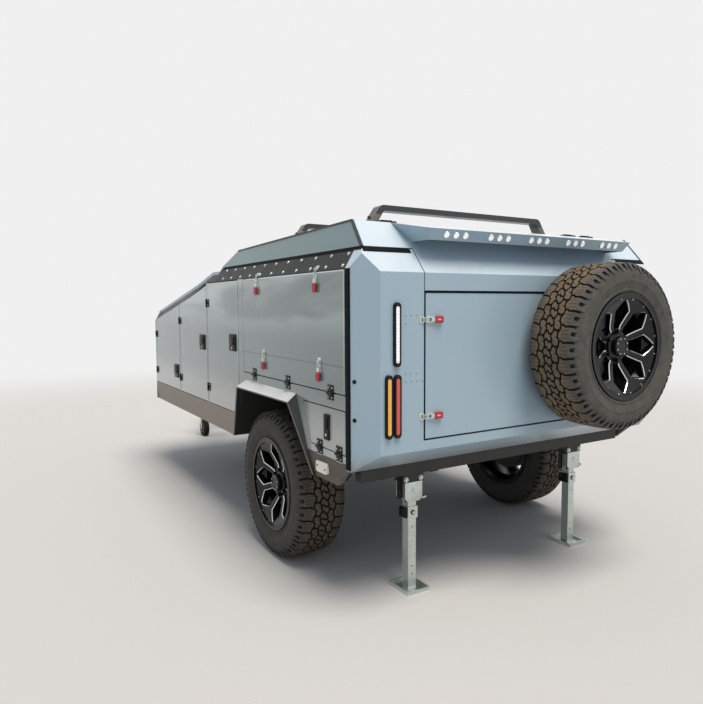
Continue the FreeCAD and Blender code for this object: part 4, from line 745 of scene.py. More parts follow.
def inset(outline: Sequence[Pair], distance: float) -> list[Pair]:
    """Move every side of a counter-clockwise outline inward and meet them at mitred corners.

    Args:
        outline: Corners of the outline.
        distance: How far each side moves, in the outline's own unit.

    Returns:
        The smaller outline.
    """
    corners = [Vector(corner) for corner in outline]
    result = []
    for before, here, after in zip(corners[-1:] + corners[:-1], corners, corners[1:] + corners[:1]):
        sides = [(here - before).normalized(), (after - here).normalized()]
        inward = [Vector((-side.y, side.x)) for side in sides]
        mitre = (inward[0] + inward[1]) / max(1 + inward[0].dot(inward[1]), 0.4)
        result.append(tuple(here + mitre * distance))
    return result


def prism(outline: Sequence[Sequence[float]], run: Sequence[float], round_mm: float = 0.0) -> Piece:
    """Shape a filled circle primitive to a flat outline anywhere in space and extrude it.

    Args:
        outline: Corners in millimetres from the axle.
        run: The extrusion in millimetres.
        round_mm: Width of the rounded edges, or zero.

    Returns:
        The new object.
    """
    bpy.ops.mesh.primitive_circle_add(vertices=len(outline), radius=1, fill_type="NGON")
    piece = bpy.context.object
    alone(piece)
    for vertex, point in zip(piece.data.vertices, outline):
        vertex.co = Vector(point) * MM
    with editing(piece):
        bpy.ops.mesh.select_all(action="SELECT")
        push(*run)
        bpy.ops.mesh.select_all(action="SELECT")
        bpy.ops.mesh.normals_make_consistent(inside=False)
    return rounded(piece, round_mm) if round_mm else piece


def angle_strip(start: Sequence[float], end: Sequence[float], first: Sequence[float],
                second: Sequence[float], width: float, thick: float) -> Piece:
    """Lay an angle strip over the edge between two flat faces.

    Args:
        start: One end of the edge, in millimetres from the axle.
        end: The other end.
        first: Outward normal of one face.
        second: Outward normal of the other face.
        width: How far the strip reaches over each face.
        thick: How far it stands proud.

    Returns:
        The new strip.
    """
    a, b = Vector(start), Vector(end)
    along = (b - a).normalized()
    normals = [Vector(first).normalized(), Vector(second).normalized()]
    reaches = []
    for normal, other in (normals, normals[::-1]):
        across = along.cross(normal)
        reaches.append((-across if across.dot(other) > 0 else across) * width)
    corner = a + (normals[0] + normals[1]) * (thick / (1 + normals[0].dot(normals[1])))
    outline = [a, a + reaches[0], a + reaches[0] + normals[0] * thick, corner,
               a + reaches[1] + normals[1] * thick, a + reaches[1]]
    return prism(outline, b - a)


def stud(radius: float, height: float, finish: Finish) -> Piece:
    """Make one domed bolt head that stands on the origin towards plus Y."""
    return dress(rod(radius, (0, -1, 0), (0, height, 0), height * 0.6, 14), finish)


def bolt_on_washer(bolt: Triple, washer: Triple) -> Piece:
    """Make a hexagon bolt head on its washer, standing on the origin towards plus Y.

    Args:
        bolt: Radius, height and rounding of the head in millimetres.
        washer: The same of the washer.

    Returns:
        The zinc-plated bolt.
    """
    made = [dress(rod(radius, (0, -1, 0), (0, height, 0), round_mm, sides), Finish.ZINC)
            for (radius, height, round_mm), sides in ((bolt, 6), (washer, 20))]
    return joined(made)


def copies(piece: Piece, places: Sequence[Matrix]) -> list[Piece]:
    """Put a copy of a piece at each place and take the model away.

    Args:
        piece: The model.
        places: A move for each copy.

    Returns:
        The copies.
    """
    made = [twin(piece, place) for place in places]
    remove(piece)
    return made


def both_sides(pieces: Sequence[Piece]) -> list[Piece]:
    """Return the pieces with their mirror twins on the right side."""
    return list(pieces) + [twin(piece, MIRROR_Y) for piece in pieces]


def twin(piece: Piece, place: Matrix) -> Piece:
    """Copy a piece with its own mesh and move the copy's mesh.

    Args:
        piece: The object to copy.
        place: The move, in metres. A mirroring one has its faces turned out again.

    Returns:
        The copy.
    """
    copy = piece.copy()
    copy.data = piece.data.copy()
    bpy.context.scene.collection.objects.link(copy)
    return moved(copy, place)


def moved(piece: Piece, place: Matrix) -> Piece:
    """Move a piece's mesh and leave its object at the origin.

    Args:
        piece: The piece.
        place: The move, in metres.

    Returns:
        The same piece.
    """
    piece.data.transform(place)
    if place.determinant() < 0:
        piece.data.flip_normals()
    return piece


def shift(x: float, y: float, z: float) -> Matrix:
    """Return a move by a distance in millimetres."""
    return Matrix.Translation((x * MM, y * MM, z * MM))


def turn(degrees: float, axis: str) -> Matrix:
    """Return a turn about one axis through the origin."""
    return Matrix.Rotation(math.radians(degrees), 4, axis)


def joined(pieces: Sequence[Piece]) -> Piece:
    """Join pieces into the first one, which keeps each piece's finish.

    Args:
        pieces: One piece or more.

    Returns:
        The joined piece.
    """
    if len(pieces) > 1:
        alone(*pieces)
        bpy.ops.object.join()
    return pieces[0]


def remove(*pieces: Piece) -> None:
    """Take away pieces that were only models for copies."""
    for piece in pieces:
        bpy.data.objects.remove(piece)


def settle(piece: Piece, name: str, body: str,
           replaces: Sequence[str] = (), smooth: float = 32.0) -> None:
    """Name a finished piece, move it to the row's frame and let it ride on its body.

    Args:
        piece: The finished object, in the axle's frame.
        name: Its name in the table.
        body: The body that it moves with.
        replaces: CAD nodes that it stands for.
        smooth: Largest angle in degrees that is shaded smooth.
    """
    moved(piece, ROW_SHIFT)
    alone(piece)
    bpy.ops.object.shade_smooth_by_angle(angle=math.radians(smooth))
    piece.name = name
    piece.data.name = name
    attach(piece, body)
    if replaces:
        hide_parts(*replaces)
    LOG.info("made piece %s on %s", name, body)


SLOT_FINISH: dict[str, Finish] = {
    "paint_blue_grey": Finish.BODY_PAINT, "paint_side": Finish.SIDE_PAINT,
    "skirt_grey": Finish.SKIRT_PAINT, "black_steel": Finish.CHASSIS_PAINT,
    "fender_grey": Finish.FENDER_PAINT, "zinc": Finish.ZINC, "rim_black": Finish.RIM_BLACK,
    "drum_silver": Finish.DRUM, "tyre_rubber": Finish.TYRE, "seal_rubber": Finish.SEAL,
    "black_plastic": Finish.BLACK_PLASTIC, "lens_clear": Finish.CLEAR_LENS,
    "lens_amber": Finish.AMBER_LENS, "lens_red": Finish.RED_LENS, "deck_ply": Finish.PLYWOOD,
    "inner_lining": Finish.SHEET_LINING, "bar_dark": Finish.BAR_BLACK, "wheel_rubber": Finish.TYRE,
}

NODE_FINISH: dict[str, Finish] = {
    "side_top_rails": Finish.BAND_PAINT, "wheel_liners": Finish.LINER_PLASTIC,
    "marker_lamps": Finish.WHITE_PLASTIC, "visor_lamps": Finish.VISOR_LENS,
}


@dataclass
class PackedPieces:
    """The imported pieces, which keep their shape and get their real finishes."""

    behind_wheels_x: float = -450.0

    def build(self) -> None:
        """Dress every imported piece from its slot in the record."""
        for part in frame["record"]["subparts"]:
            name = part["node"]
            finish = NODE_FINISH.get(name, SLOT_FINISH[part["material_slot"]])
            dress(frame["nodes"][name], finish)
            LOG.info("packed piece %s: %s", name, finish.name.lower())
        self.lid_sides(frame["nodes"]["lid_shell"])
        self.rear_sills(frame["nodes"]["side_sills"])

    def lid_sides(self, lid: Piece) -> None:
        """Give the lid's upright sides their own darker coat.

        Args:
            lid: The lid's packed shell.
        """
        lid.data.materials.append(Finish.LID_SIDE_PAINT.value.material())
        for face in lid.data.polygons:
            if abs(face.normal.y) > 0.9:
                face.material_index = 1

    def rear_sills(self, sills: Piece) -> None:
        """Give the sills behind the wheels their darker coat.

        Args:
            sills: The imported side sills.
        """
        sills.data.materials.append(Finish.REAR_SKIRT_PAINT.value.material())
        for face in sills.data.polygons:
            if face.center.x < ROW_SHIFT.translation.x + self.behind_wheels_x * MM:
                face.material_index = 1


@dataclass
class WheelPlaces:
    """Where the three wheels stand: modelled round Y with the outer face towards plus Y."""

    wheel_y: float = 826.0
    axle_z: float = 388.0
    spare: Triple = (-1115.0, -280.0, 1138.0)

    def all(self) -> tuple[tuple[str, str, Matrix], ...]:
        """List the three wheels.

        Returns:
            Each wheel's name, its body and its place.
        """
        left = shift(0, self.wheel_y, self.axle_z)
        return (
            ("left", "wheel_left", left),
            ("right", "wheel_right", MIRROR_Y @ left),
            ("spare", "rear_door", shift(*self.spare) @ turn(90, "Z")),
        )


@dataclass
class TreadedTyre:
    """All-terrain tyre: a spun carcass with interlocking blocks wrapped round its crown."""

    # Radius and half width of the carcass from the bead, over the sidewall, to the crown.
    section: Outline = (
        (245.5, 118.5), (252, 121.5), (256, 126.6), (261, 127.2), (264, 124.4), (272, 125.2),
        (285, 128.4), (296, 130.2), (299, 131.6), (303, 131.6), (306, 130.6), (318, 130.8),
        (332, 129.8), (345, 127.0), (356, 122.0), (366, 112.6), (374, 103.0), (376.8, 78),
        (378.3, 40))
    inner_section: Outline = ((238.0, -116.0), (236.0, 0.0), (238.0, 116.0))
    crown_radius: float = 378.6
    wrap_from: int = 12
    round_steps: int = 136
    pitches: int = 34
    outer_radius: float = 388.0
    block_height: float = 9.4
    chamfer: float = 1.3
    groove: float = 7.6
    # Cells of one pitch as place round and place across, which lock into each other and leave no
    # gap. The groove is taken off their edges.
    centre_first: Outline = (
        (0, -17), (5.7, -22), (15.7, -15), (31.7, -15), (28, -5), (43.7, 5), (40, 15), (30, 25),
        (14, 25), (0, 17), (7, 6), (-7, -6))
    centre_second: Outline = (
        (31.7, -15), (41.7, -25), (57.7, -25), (71.7, -17), (64.7, -6), (78.7, 6), (71.7, 17),
        (66, 22), (56, 15), (40, 15), (43.7, 5), (28, -5))
    middle_cell: Outline = (
        (26, 25), (30, 25), (40, 15), (56, 15), (66, 22), (71.7, 17), (85.7, 25), (97.7, 25),
        (91.7, 34), (99.7, 42), (93.7, 50), (95.7, 57), (81.7, 60), (66, 58), (54, 49), (38, 49),
        (24, 57), (22, 50), (28, 42), (20, 34))
    shoulder_cell: Outline = (
        (2.3, 59), (10, 60), (24, 57), (38, 49), (54, 49), (66, 58), (74, 59), (70, 72), (78, 80),
        (75.5, 104), (72.5, 134), (66, 148), (46, 148), (42.5, 114), (33.5, 114), (31, 138), (11, 138),
        (6.8, 120), (5.8, 104), (6.3, 80), (-1.7, 72))
    # Cuts of one pitch: start, end, width and share of the block's height that stays.
    middle_cuts: tuple[tuple[float, float, float, float, float, float], ...] = (
        (61, 60, 53, 38, 3.6, 0.1), (45, 11, 43, 28, 3.4, 0.1), (70, 24, 76, 42, 1.5, 0.5))
    shoulder_cuts: tuple[tuple[float, float, float, float, float, float], ...] = (
        (22, 62, 24, 98, 1.7, 0.4), (40, 66, 41, 104, 1.7, 0.4), (58, 62, 58, 98, 1.7, 0.4))
    round_bends: tuple[float, ...] = (6.0, 20.0, 34.0, 48.0, 62.0, 76.0, 88.0)
    bends: tuple[float, ...] = (86.0, 103.0, 109.0, 115.5, 122.0, 129.0, 136.0, 142.0)
    # The tan dust of the crown thins out between these two places across.
    dust_edge: Pair = (70.0, 108.0)
    # The blocks lose this share of their height between two places across, down the shoulder.
    shoulder_loss: float = 0.72
    shoulder_edge: Pair = (108.0, 146.0)
    sink: float = 0.8
    # The carcass takes the painted groove shade between these two radii.
    groove_shade_edge: Pair = (356.0, 372.0)

    def carcass(self) -> Piece:
        """Spin the closed section round the axle.

        Returns:
            The carcass.
        """
        outside = list(self.section) + [(self.crown_radius, 0.0)]
        mirrored = [(r, -y) for r, y in reversed(self.section)]
        profile = outside + mirrored + list(self.inner_section) + [self.section[0]]
        return spun(profile, self.round_steps)

    def block(self, cell: Sequence[Pair],
              cuts: Sequence[tuple[float, float, float, float, float, float]] = ()) -> Piece:
        """Make one chamfered tread block in flat coordinates: round, across, up.

        Args:
            cell: The block's cell, with half a groove round it.
            cuts: Sipes and notches: start, end, width and share of the height that stays.

        Returns:
            The block.
        """
        piece = slab(inset(cell, self.groove / 2), self.block_height, self.chamfer)
        for x0, y0, x1, y1, width, left in cuts:
            start, end = Vector((x0, y0, 0)), Vector((x1, y1, 0))
            along = (end - start).normalized()
            side = Vector((-along.y, along.x, 0)) * width / 2
            outline = [tuple(p[:2]) for p in (start - side, end - side, end + side, start + side)]
            cutter = moved(slab(outline, self.block_height * 1.2), shift(0, 0, self.block_height * left))
            cut_by(piece, cutter)
        return piece

    def flat_pitch(self) -> Piece:
        """Lay out the blocks of one pitch: the centre row, one side and its turned twin.

        Returns:
            The blocks, still flat.
        """
        centre = [self.block(self.centre_first), self.block(self.centre_second)]
        one_side = joined([self.block(self.middle_cell, self.middle_cuts),
                           self.block(self.shoulder_cell, self.shoulder_cuts)])
        pitch = joined(centre + [twin(one_side, turn(180, "Z")), one_side])
        planes = [((place * side, 0), (1, 0)) for place in self.round_bends for side in (-1, 1)]
        planes += [((0, place * side), (0, 1)) for place in self.bends for side in (-1, 1)]
        with editing(pitch):
            for (x, y), normal in planes:
                bpy.ops.mesh.select_all(action="SELECT")
                bpy.ops.mesh.bisect(plane_co=(x * MM, y * MM, 0), plane_no=(*normal, 0))
            bpy.ops.mesh.select_all(action="SELECT")
            bpy.ops.mesh.normals_make_consistent(inside=False)
        return pitch

    def surface(self, across: float) -> tuple[Vector, Vector]:
        """Find the carcass point and its outward normal at a distance across the tread.

        Args:
            across: Arc length in millimetres from the middle of the crown.

        Returns:
            The point and the normal, as place across and radius.
        """
        run = [Vector((0.0, self.crown_radius))]
        run += [Vector((y, r)) for r, y in reversed(self.section[self.wrap_from - 1:])]
        normals = []
        for i, _ in enumerate(run):
            step = run[min(i + 1, len(run) - 1)] - run[max(i - 1, 0)]
            normals.append(Vector((-step.y, step.x)).normalized())
        normals[0] = Vector((0.0, 1.0))
        left = abs(across)
        for i in range(len(run) - 1):
            length = (run[i + 1] - run[i]).length
            if left <= length or i == len(run) - 2:
                share = left / length
                point = run[i].lerp(run[i + 1], share)
                normal = normals[i].lerp(normals[i + 1], min(share, 1.0)).normalized()
                return point, normal
            left -= length
        return run[-1], normals[-1]

    def wrapped(self, piece: Piece) -> Piece:
        """Bend a flat pitch round the carcass and note each point's height and dust.

        Args:
            piece: The flat pitch.

        Returns:
            The same piece.
        """
        round_length = math.tau * self.outer_radius
        height_share = piece.data.attributes.new("tread_height", "FLOAT", "POINT")
        dust = piece.data.attributes.new("crown_dust", "FLOAT", "POINT")
        for index, vertex in enumerate(piece.data.vertices):
            along, across, up = (value / MM for value in vertex.co)
            height_share.data[index].value = up / self.block_height
            dust.data[index].value = 1.0 - share_between(abs(across), self.dust_edge)
            point, normal = self.surface(across)
            height = up * (1.0 - self.shoulder_loss * share_between(abs(across), self.shoulder_edge))
            point = point + normal * (height - self.sink)
            angle = along / round_length * math.tau
            vertex.co = (point.y * MM * math.sin(angle), math.copysign(point.x, across) * MM,
                         point.y * MM * math.cos(angle))
        return piece

    def tyre(self) -> Piece:
        """Join the carcass and all pitches into one tyre.

        Returns:
            The tyre.
        """
        pitch = self.wrapped(self.flat_pitch())
        step = 360.0 / self.pitches
        rest = [twin(pitch, turn(step * number, "Y")) for number in range(1, self.pitches)]
        carcass = self.carcass()
        # The carcass between the blocks is marked for the painted groove shade.
        height = carcass.data.attributes.new("tread_height", "FLOAT", "POINT")
        for index, vertex in enumerate(carcass.data.vertices):
            radius = math.hypot(vertex.co.x, vertex.co.z) / MM
            height.data[index].value = 1.0 - share_between(radius, self.groove_shade_edge)
        return dress(joined([pitch] + rest + [carcass]), Finish.TYRE)

    def build(self) -> None:
        """Make the tyre once and put a copy on each of the three wheels."""
        model = self.tyre()
        for name, body, place in WheelPlaces().all():
            node = "spare_tyre" if name == "spare" else "tyre_" + name
            # The road tyres get the darker rubber, which paints the shade under the fenders.
            tyre = dress(twin(model, place), Finish.TYRE if name == "spare" else Finish.ROAD_TYRE)
            settle(tyre, node + "_treaded", body, [node])
        remove(model)


@dataclass
class RimFace:
    """What stands proud of the cast rim: milled spokes, ring with bolts, cap and wheel nuts."""

    spokes: int = 8
    edge_radius: float = 227.0
    pad_radius: float = 95.3
    pad_face: float = 62.0
    edge_face: float = 112.0
    # Radius and half of a petal window's width, as shares of the edge radius and of the pitch.
    window: Outline = ((0.35, 0.27), (0.74, 0.37), (0.95, 0.0))
    stations: tuple[float, ...] = (70, 75, 79.5, 95.3, 112, 132, 152, 168, 178, 188, 198, 207, 215.6)
    raised: float = 5.0
    crown: float = 2.5
    milled_width: float = 3.8
    milled_drop: float = 2.6
    columns: int = 8
    bolt_radius: float = 220.0
    bolt_count: int = 16
    nut_radius: float = 68.0
    nut_count: int = 6
    cap_radius: float = 44.0
    cap_face: float = 96.0
    # Sections as radius and place along the axle: ring outside the windows, and the rim's lip.
    ring_section: Outline = (
        (211.5, 106.0), (213.0, 112.0), (214.5, 113.6), (225.5, 116.4), (227.5, 115.0), (229.0, 110.0),
        (226.0, 105.0), (211.5, 106.0))
    lip_section: Outline = (
        (236.0, 125.4), (238.0, 126.9), (243.0, 127.4), (245.2, 126.2), (245.4, 124.5), (238.0, 124.6),
        (236.0, 125.4))

    def face_y(self, radius: float) -> float:
        """Return the cast disc's front face at a radius."""
        share = (radius - self.pad_radius) / (self.edge_radius - self.pad_radius)
        return self.pad_face + max(share, 0.0) * (self.edge_face - self.pad_face)

    def window_half(self, radius: float) -> float:
        """Find how wide the windows open.

        Args:
            radius: Distance from the axle in millimetres.

        Returns:
            Half of a window's opening, in degrees.
        """
        pitch = 360.0 / self.spokes
        points = [(self.edge_radius * r, a * pitch) for r, a in self.window]
        for (r0, a0), (r1, a1) in zip(points, points[1:]):
            if r0 <= radius <= r1:
                return a0 + (a1 - a0) * (radius - r0) / (r1 - r0)
        return 0.0 if radius > points[-1][0] else points[0][1]

    def spoke(self) -> Piece:
        """Shape a grid primitive into one spoke with milled flanks, centred on plus Z.

        Returns:
            The spoke.
        """
        rows = len(self.stations) - 1
        bpy.ops.mesh.primitive_grid_add(x_subdivisions=self.columns, y_subdivisions=rows, size=2)
        piece = bpy.context.object
        pitch = 360.0 / self.spokes
        for vertex in piece.data.vertices:
            radius = self.stations[round((vertex.co.y + 1) / 2 * rows)]
            column = round((vertex.co.x + 1) / 2 * self.columns)
            half = math.radians(pitch / 2 - self.window_half(radius)) * radius
            flank = min(self.milled_width, half * 0.45)
            middle = (self.columns / 2 - column)
            side = math.copysign(1.0, middle) if middle else 0.0
            share = abs(middle) / (self.columns / 2 - 2)
            if column in (0, self.columns) or radius == self.stations[0]:
                across, lift = side * half, -1.5
            elif share > 1:
                across, lift = side * half, self.raised - self.milled_drop
            else:
                across = side * share * (half - flank)
                lift = self.raised + self.crown * (1 - share * share)
            angle = across / radius
            vertex.co = (radius * math.sin(angle) * MM, (self.face_y(radius) + lift) * MM,
                         radius * math.cos(angle) * MM)
        piece.data.flip_normals()
        dress(piece, Finish.RIM_BLACK)
        milled = dress(twin(piece, Matrix.Identity(4)), Finish.MILLED)
        self.keep_faces(piece, flanks=False)
        self.keep_faces(milled, flanks=True)
        return joined([piece, milled])

    def keep_faces(self, piece: Piece, flanks: bool) -> None:
        """Keep the flank columns of a spoke, or all the others.

        Args:
            piece: The spoke.
            flanks: Whether the flanks stay.
        """
        with editing(piece):
            choose(piece, "faces",
                   lambda face: (face.index % self.columns in (1, self.columns - 2)) != flanks)
            bpy.ops.mesh.delete(type="FACE")

    def round_copies(self, piece: Piece, count: int, first: float) -> list[Piece]:
        """Copy a piece evenly round the axle and take the model away."""
        return copies(piece, [turn(first + 360.0 / count * number, "Y") for number in range(count)])

    def ring_bolt(self) -> Piece:
        """Make one socket-head bolt on the ring: head, socket and washer.

        Returns:
            The bolt.
        """
        y, z = self.face_y(self.bolt_radius) + self.raised - 1.5, self.bolt_radius
        head = rod(4.4, (0, y, z), (0, y + 4.6, z), 0.8, 16)
        socket = rod(2.2, (0, y + 2.2, z), (0, y + 6, z), 0, 6)
        head = dress(cut_by(head, socket), Finish.MILLED)
        washer = rod(6.2, (0, y - 2, z), (0, y + 1.2, z), 0.5, 20)
        return joined([head, dress(washer, Finish.MILLED)])

    def wheel_nut(self) -> Piece:
        """Make one chamfered black wheel nut on its seat.

        Returns:
            The nut.
        """
        y, z = self.pad_face, self.nut_radius
        nut = rod(11.0, (0, y - 1, z), (0, y + 20, z), 2.0, 6)
        seat = rod(15.0, (0, y - 1, z), (0, y + 3.5, z), 1.5, 24)
        return joined([dress(nut, Finish.RIM_BLACK), dress(seat, Finish.RIM_BLACK)])

    def cap(self) -> Piece:
        """Spin the centre cap's stepped face and set eight studs in its collar.

        Returns:
            The cap.
        """
        r, y = self.cap_radius, self.cap_face
        profile = [(0, y - 1), (22, y - 1), (24, y - 2.5), (29, y - 2.5), (31, y + 2), (r - 3, y + 2),
                   (r + 0.8, y - 1.5), (r + 2.2, y - 8), (r + 2.2, y - 22), (r + 0.2, y - 26), (0, y - 26),
                   (0, y - 1)]
        face = dress(spun(profile, 64), Finish.RIM_BLACK)
        stud = rod(3.4, (0, y - 1, 37), (0, y + 4, 37), 0.8, 12)
        collar = [(0, self.pad_face - 2), (60, self.pad_face - 2), (60, self.pad_face + 6),
                  (52, self.pad_face + 10), (r + 1, self.pad_face + 12), (0, self.pad_face + 12),
                  (0, self.pad_face - 2)]
        base = dress(spun(collar, 48), Finish.RIM_BLACK)
        return joined([face, base] + self.round_copies(dress(stud, Finish.ZINC), 8, 22.5))

    def build(self) -> None:
        """Make the rim's face once and put a copy on each of the three wheels."""
        pieces = self.round_copies(self.spoke(), self.spokes, 22.5)
        pieces += self.round_copies(self.ring_bolt(), self.bolt_count, 11.25)
        pieces += self.round_copies(self.wheel_nut(), self.nut_count, 0.0)
        rings = [dress(spun(section, 96), Finish.RIM_BLACK)
                 for section in (self.ring_section, self.lip_section)]
        model = joined(rings + [self.cap()] + pieces)
        for name, body, place in WheelPlaces().all():
            settle(twin(model, place), "rim_face_" + name, body)
        remove(model)


@dataclass
class BodyTrims:
    """Rubber strips, bolts and plugs on the fixed body."""

    side_y: float = 960.0
    corner_x: float = -845.0
    trim_front_x: float = -818.0
    trim_low_z: float = 652.0
    band_low_z: float = 1483.0
    band_lean: float = 50.0
    seam_z: float = 1568.0
    seam_front_x: float = 772.0
    seam_inner_y: float = 676.0
    bolt_rows_z: tuple[float, ...] = (1497.0, 1546.0)
    bolt_first_x: float = -785.0
    bolt_pitch: float = 145.0
    bolt_count: int = 11
    plug_place: Pair = (-862.2, 946.4)
    plug_zs: tuple[float, ...] = (1022.0, 863.0)
    # Rows of pillar rivets: height and how many of the four places across are used.
    rivet_rows: tuple[tuple[float, tuple[int, ...]], ...] = (
        (1294.0, (0, 1, 2, 3)), (1259.0, (3,)), (1055.0, (1, 2, 3)), (1022.0, (0, 1, 2, 3)))
    rivet_first_y: float = 668.0
    rivet_pitch: float = 28.5
    rear_x: float = -950.0
    marker_face_y: float = 966.2
    marker_screws_at: Outline = ((-640.0, 610.0), (-570.0, 618.0))

    def band_point(self, z: float) -> float:
        """Return how far out the leaning band is at a height."""
        share = (z - self.band_low_z) / (self.seam_z - self.band_low_z)
        return self.side_y - self.band_lean * share

    def corner_trims(self) -> None:
        """Fold a black strip round the rear edge of each side panel."""
        outline = [(self.trim_front_x, 958.5), (self.trim_front_x, 963.2), (-846.1, 963.2),
                   (-850.9, 959.4), (-848.0, 955.8), (self.corner_x, 958.0)]
        strip = dress(slab(outline, self.band_low_z - self.trim_low_z), Finish.SEAL)
        moved(strip, shift(0, 0, self.trim_low_z))
        settle(joined(both_sides([strip])), "corner_trims", "trailer")

    def seam_seals(self) -> None:
        """Lay the black bulb seal under the lid's edge, along both sides and round the rear."""
        side = prism([(-869, 908, 1571.8), (-869, 911.6, 1571.8), (-869, 911.8, 1567.9),
                      (-869, 917.4, 1558.4), (-869, 913.6, 1557.6), (-869, 908, 1566)],
                     (self.seam_front_x + 869, 0, 0))
        rear = prism([(-882.9, 913, 1551.5), (-866.3, 913, 1571.6), (-861.5, 913, 1571.6),
                      (-861.5, 913, 1566.0), (-876.0, 913, 1549.0), (-881.6, 913, 1549.0)],
                     (0, self.seam_inner_y - 913, 0))
        seals = [dress(piece, Finish.SEAL) for piece in (side, rear)]
        settle(joined(both_sides(seals)), "seam_seals", "trailer")

    def band_bolts(self) -> None:
        """Set two rows of bolts with washers into the leaning band."""
        lean = math.degrees(math.atan2(self.band_lean, self.seam_z - self.band_low_z))
        washer = dress(rod(8.5, (0, -1, 0), (0, 1.2, 0), 0.4, 20), Finish.ZINC)
        bolt = joined([stud(5.6, 5.0, Finish.ZINC), washer])
        places = [shift(self.bolt_first_x + self.bolt_pitch * n, self.band_point(z), z) @ turn(lean, "X")
                  for z in self.bolt_rows_z for n in range(self.bolt_count)]
        settle(joined(both_sides(copies(bolt, places))), "band_bolts", "trailer")

    def corner_plugs(self) -> None:
        """Press two black plugs into each rear corner facet."""
        x, y = self.plug_place
        plug = dress(spun([(0, 3.2), (4.6, 3.0), (7.4, 2.0), (9.0, 0.4), (9.0, -1.0), (0, -1.0), (0, 3.2)],
                          20), Finish.BLACK_PLASTIC)
        places = [shift(x, y, z) @ turn(38.3, "Z") for z in self.plug_zs]
        settle(joined(both_sides(copies(plug, places))), "corner_plugs", "trailer")

    def pillar_rivets(self) -> None:
        """Set small painted rivets into both rear pillars, beside the door's latches."""
        rivet = stud(4.0, 2.6, Finish.BODY_PAINT)
        places = [shift(self.rear_x, self.rivet_first_y + self.rivet_pitch * n, z) @ turn(90, "Z")
                  for z, columns in self.rivet_rows for n in columns]
        settle(joined(both_sides(copies(rivet, places))), "pillar_rivets", "trailer")

    def marker_screws(self) -> None:
        """Hold each marker lamp with two screws."""
        screws = copies(stud(4.4, 2.4, Finish.TRIM_BLACK),
                        [shift(x, self.marker_face_y, z) for x, z in self.marker_screws_at])
        settle(joined(both_sides(screws)), "marker_screws", "trailer")

    def build(self) -> None:
        """Make every trim on the fixed body."""
        self.corner_trims()
        self.seam_seals()
        self.band_bolts()
        self.corner_plugs()
        self.pillar_rivets()
        self.marker_screws()


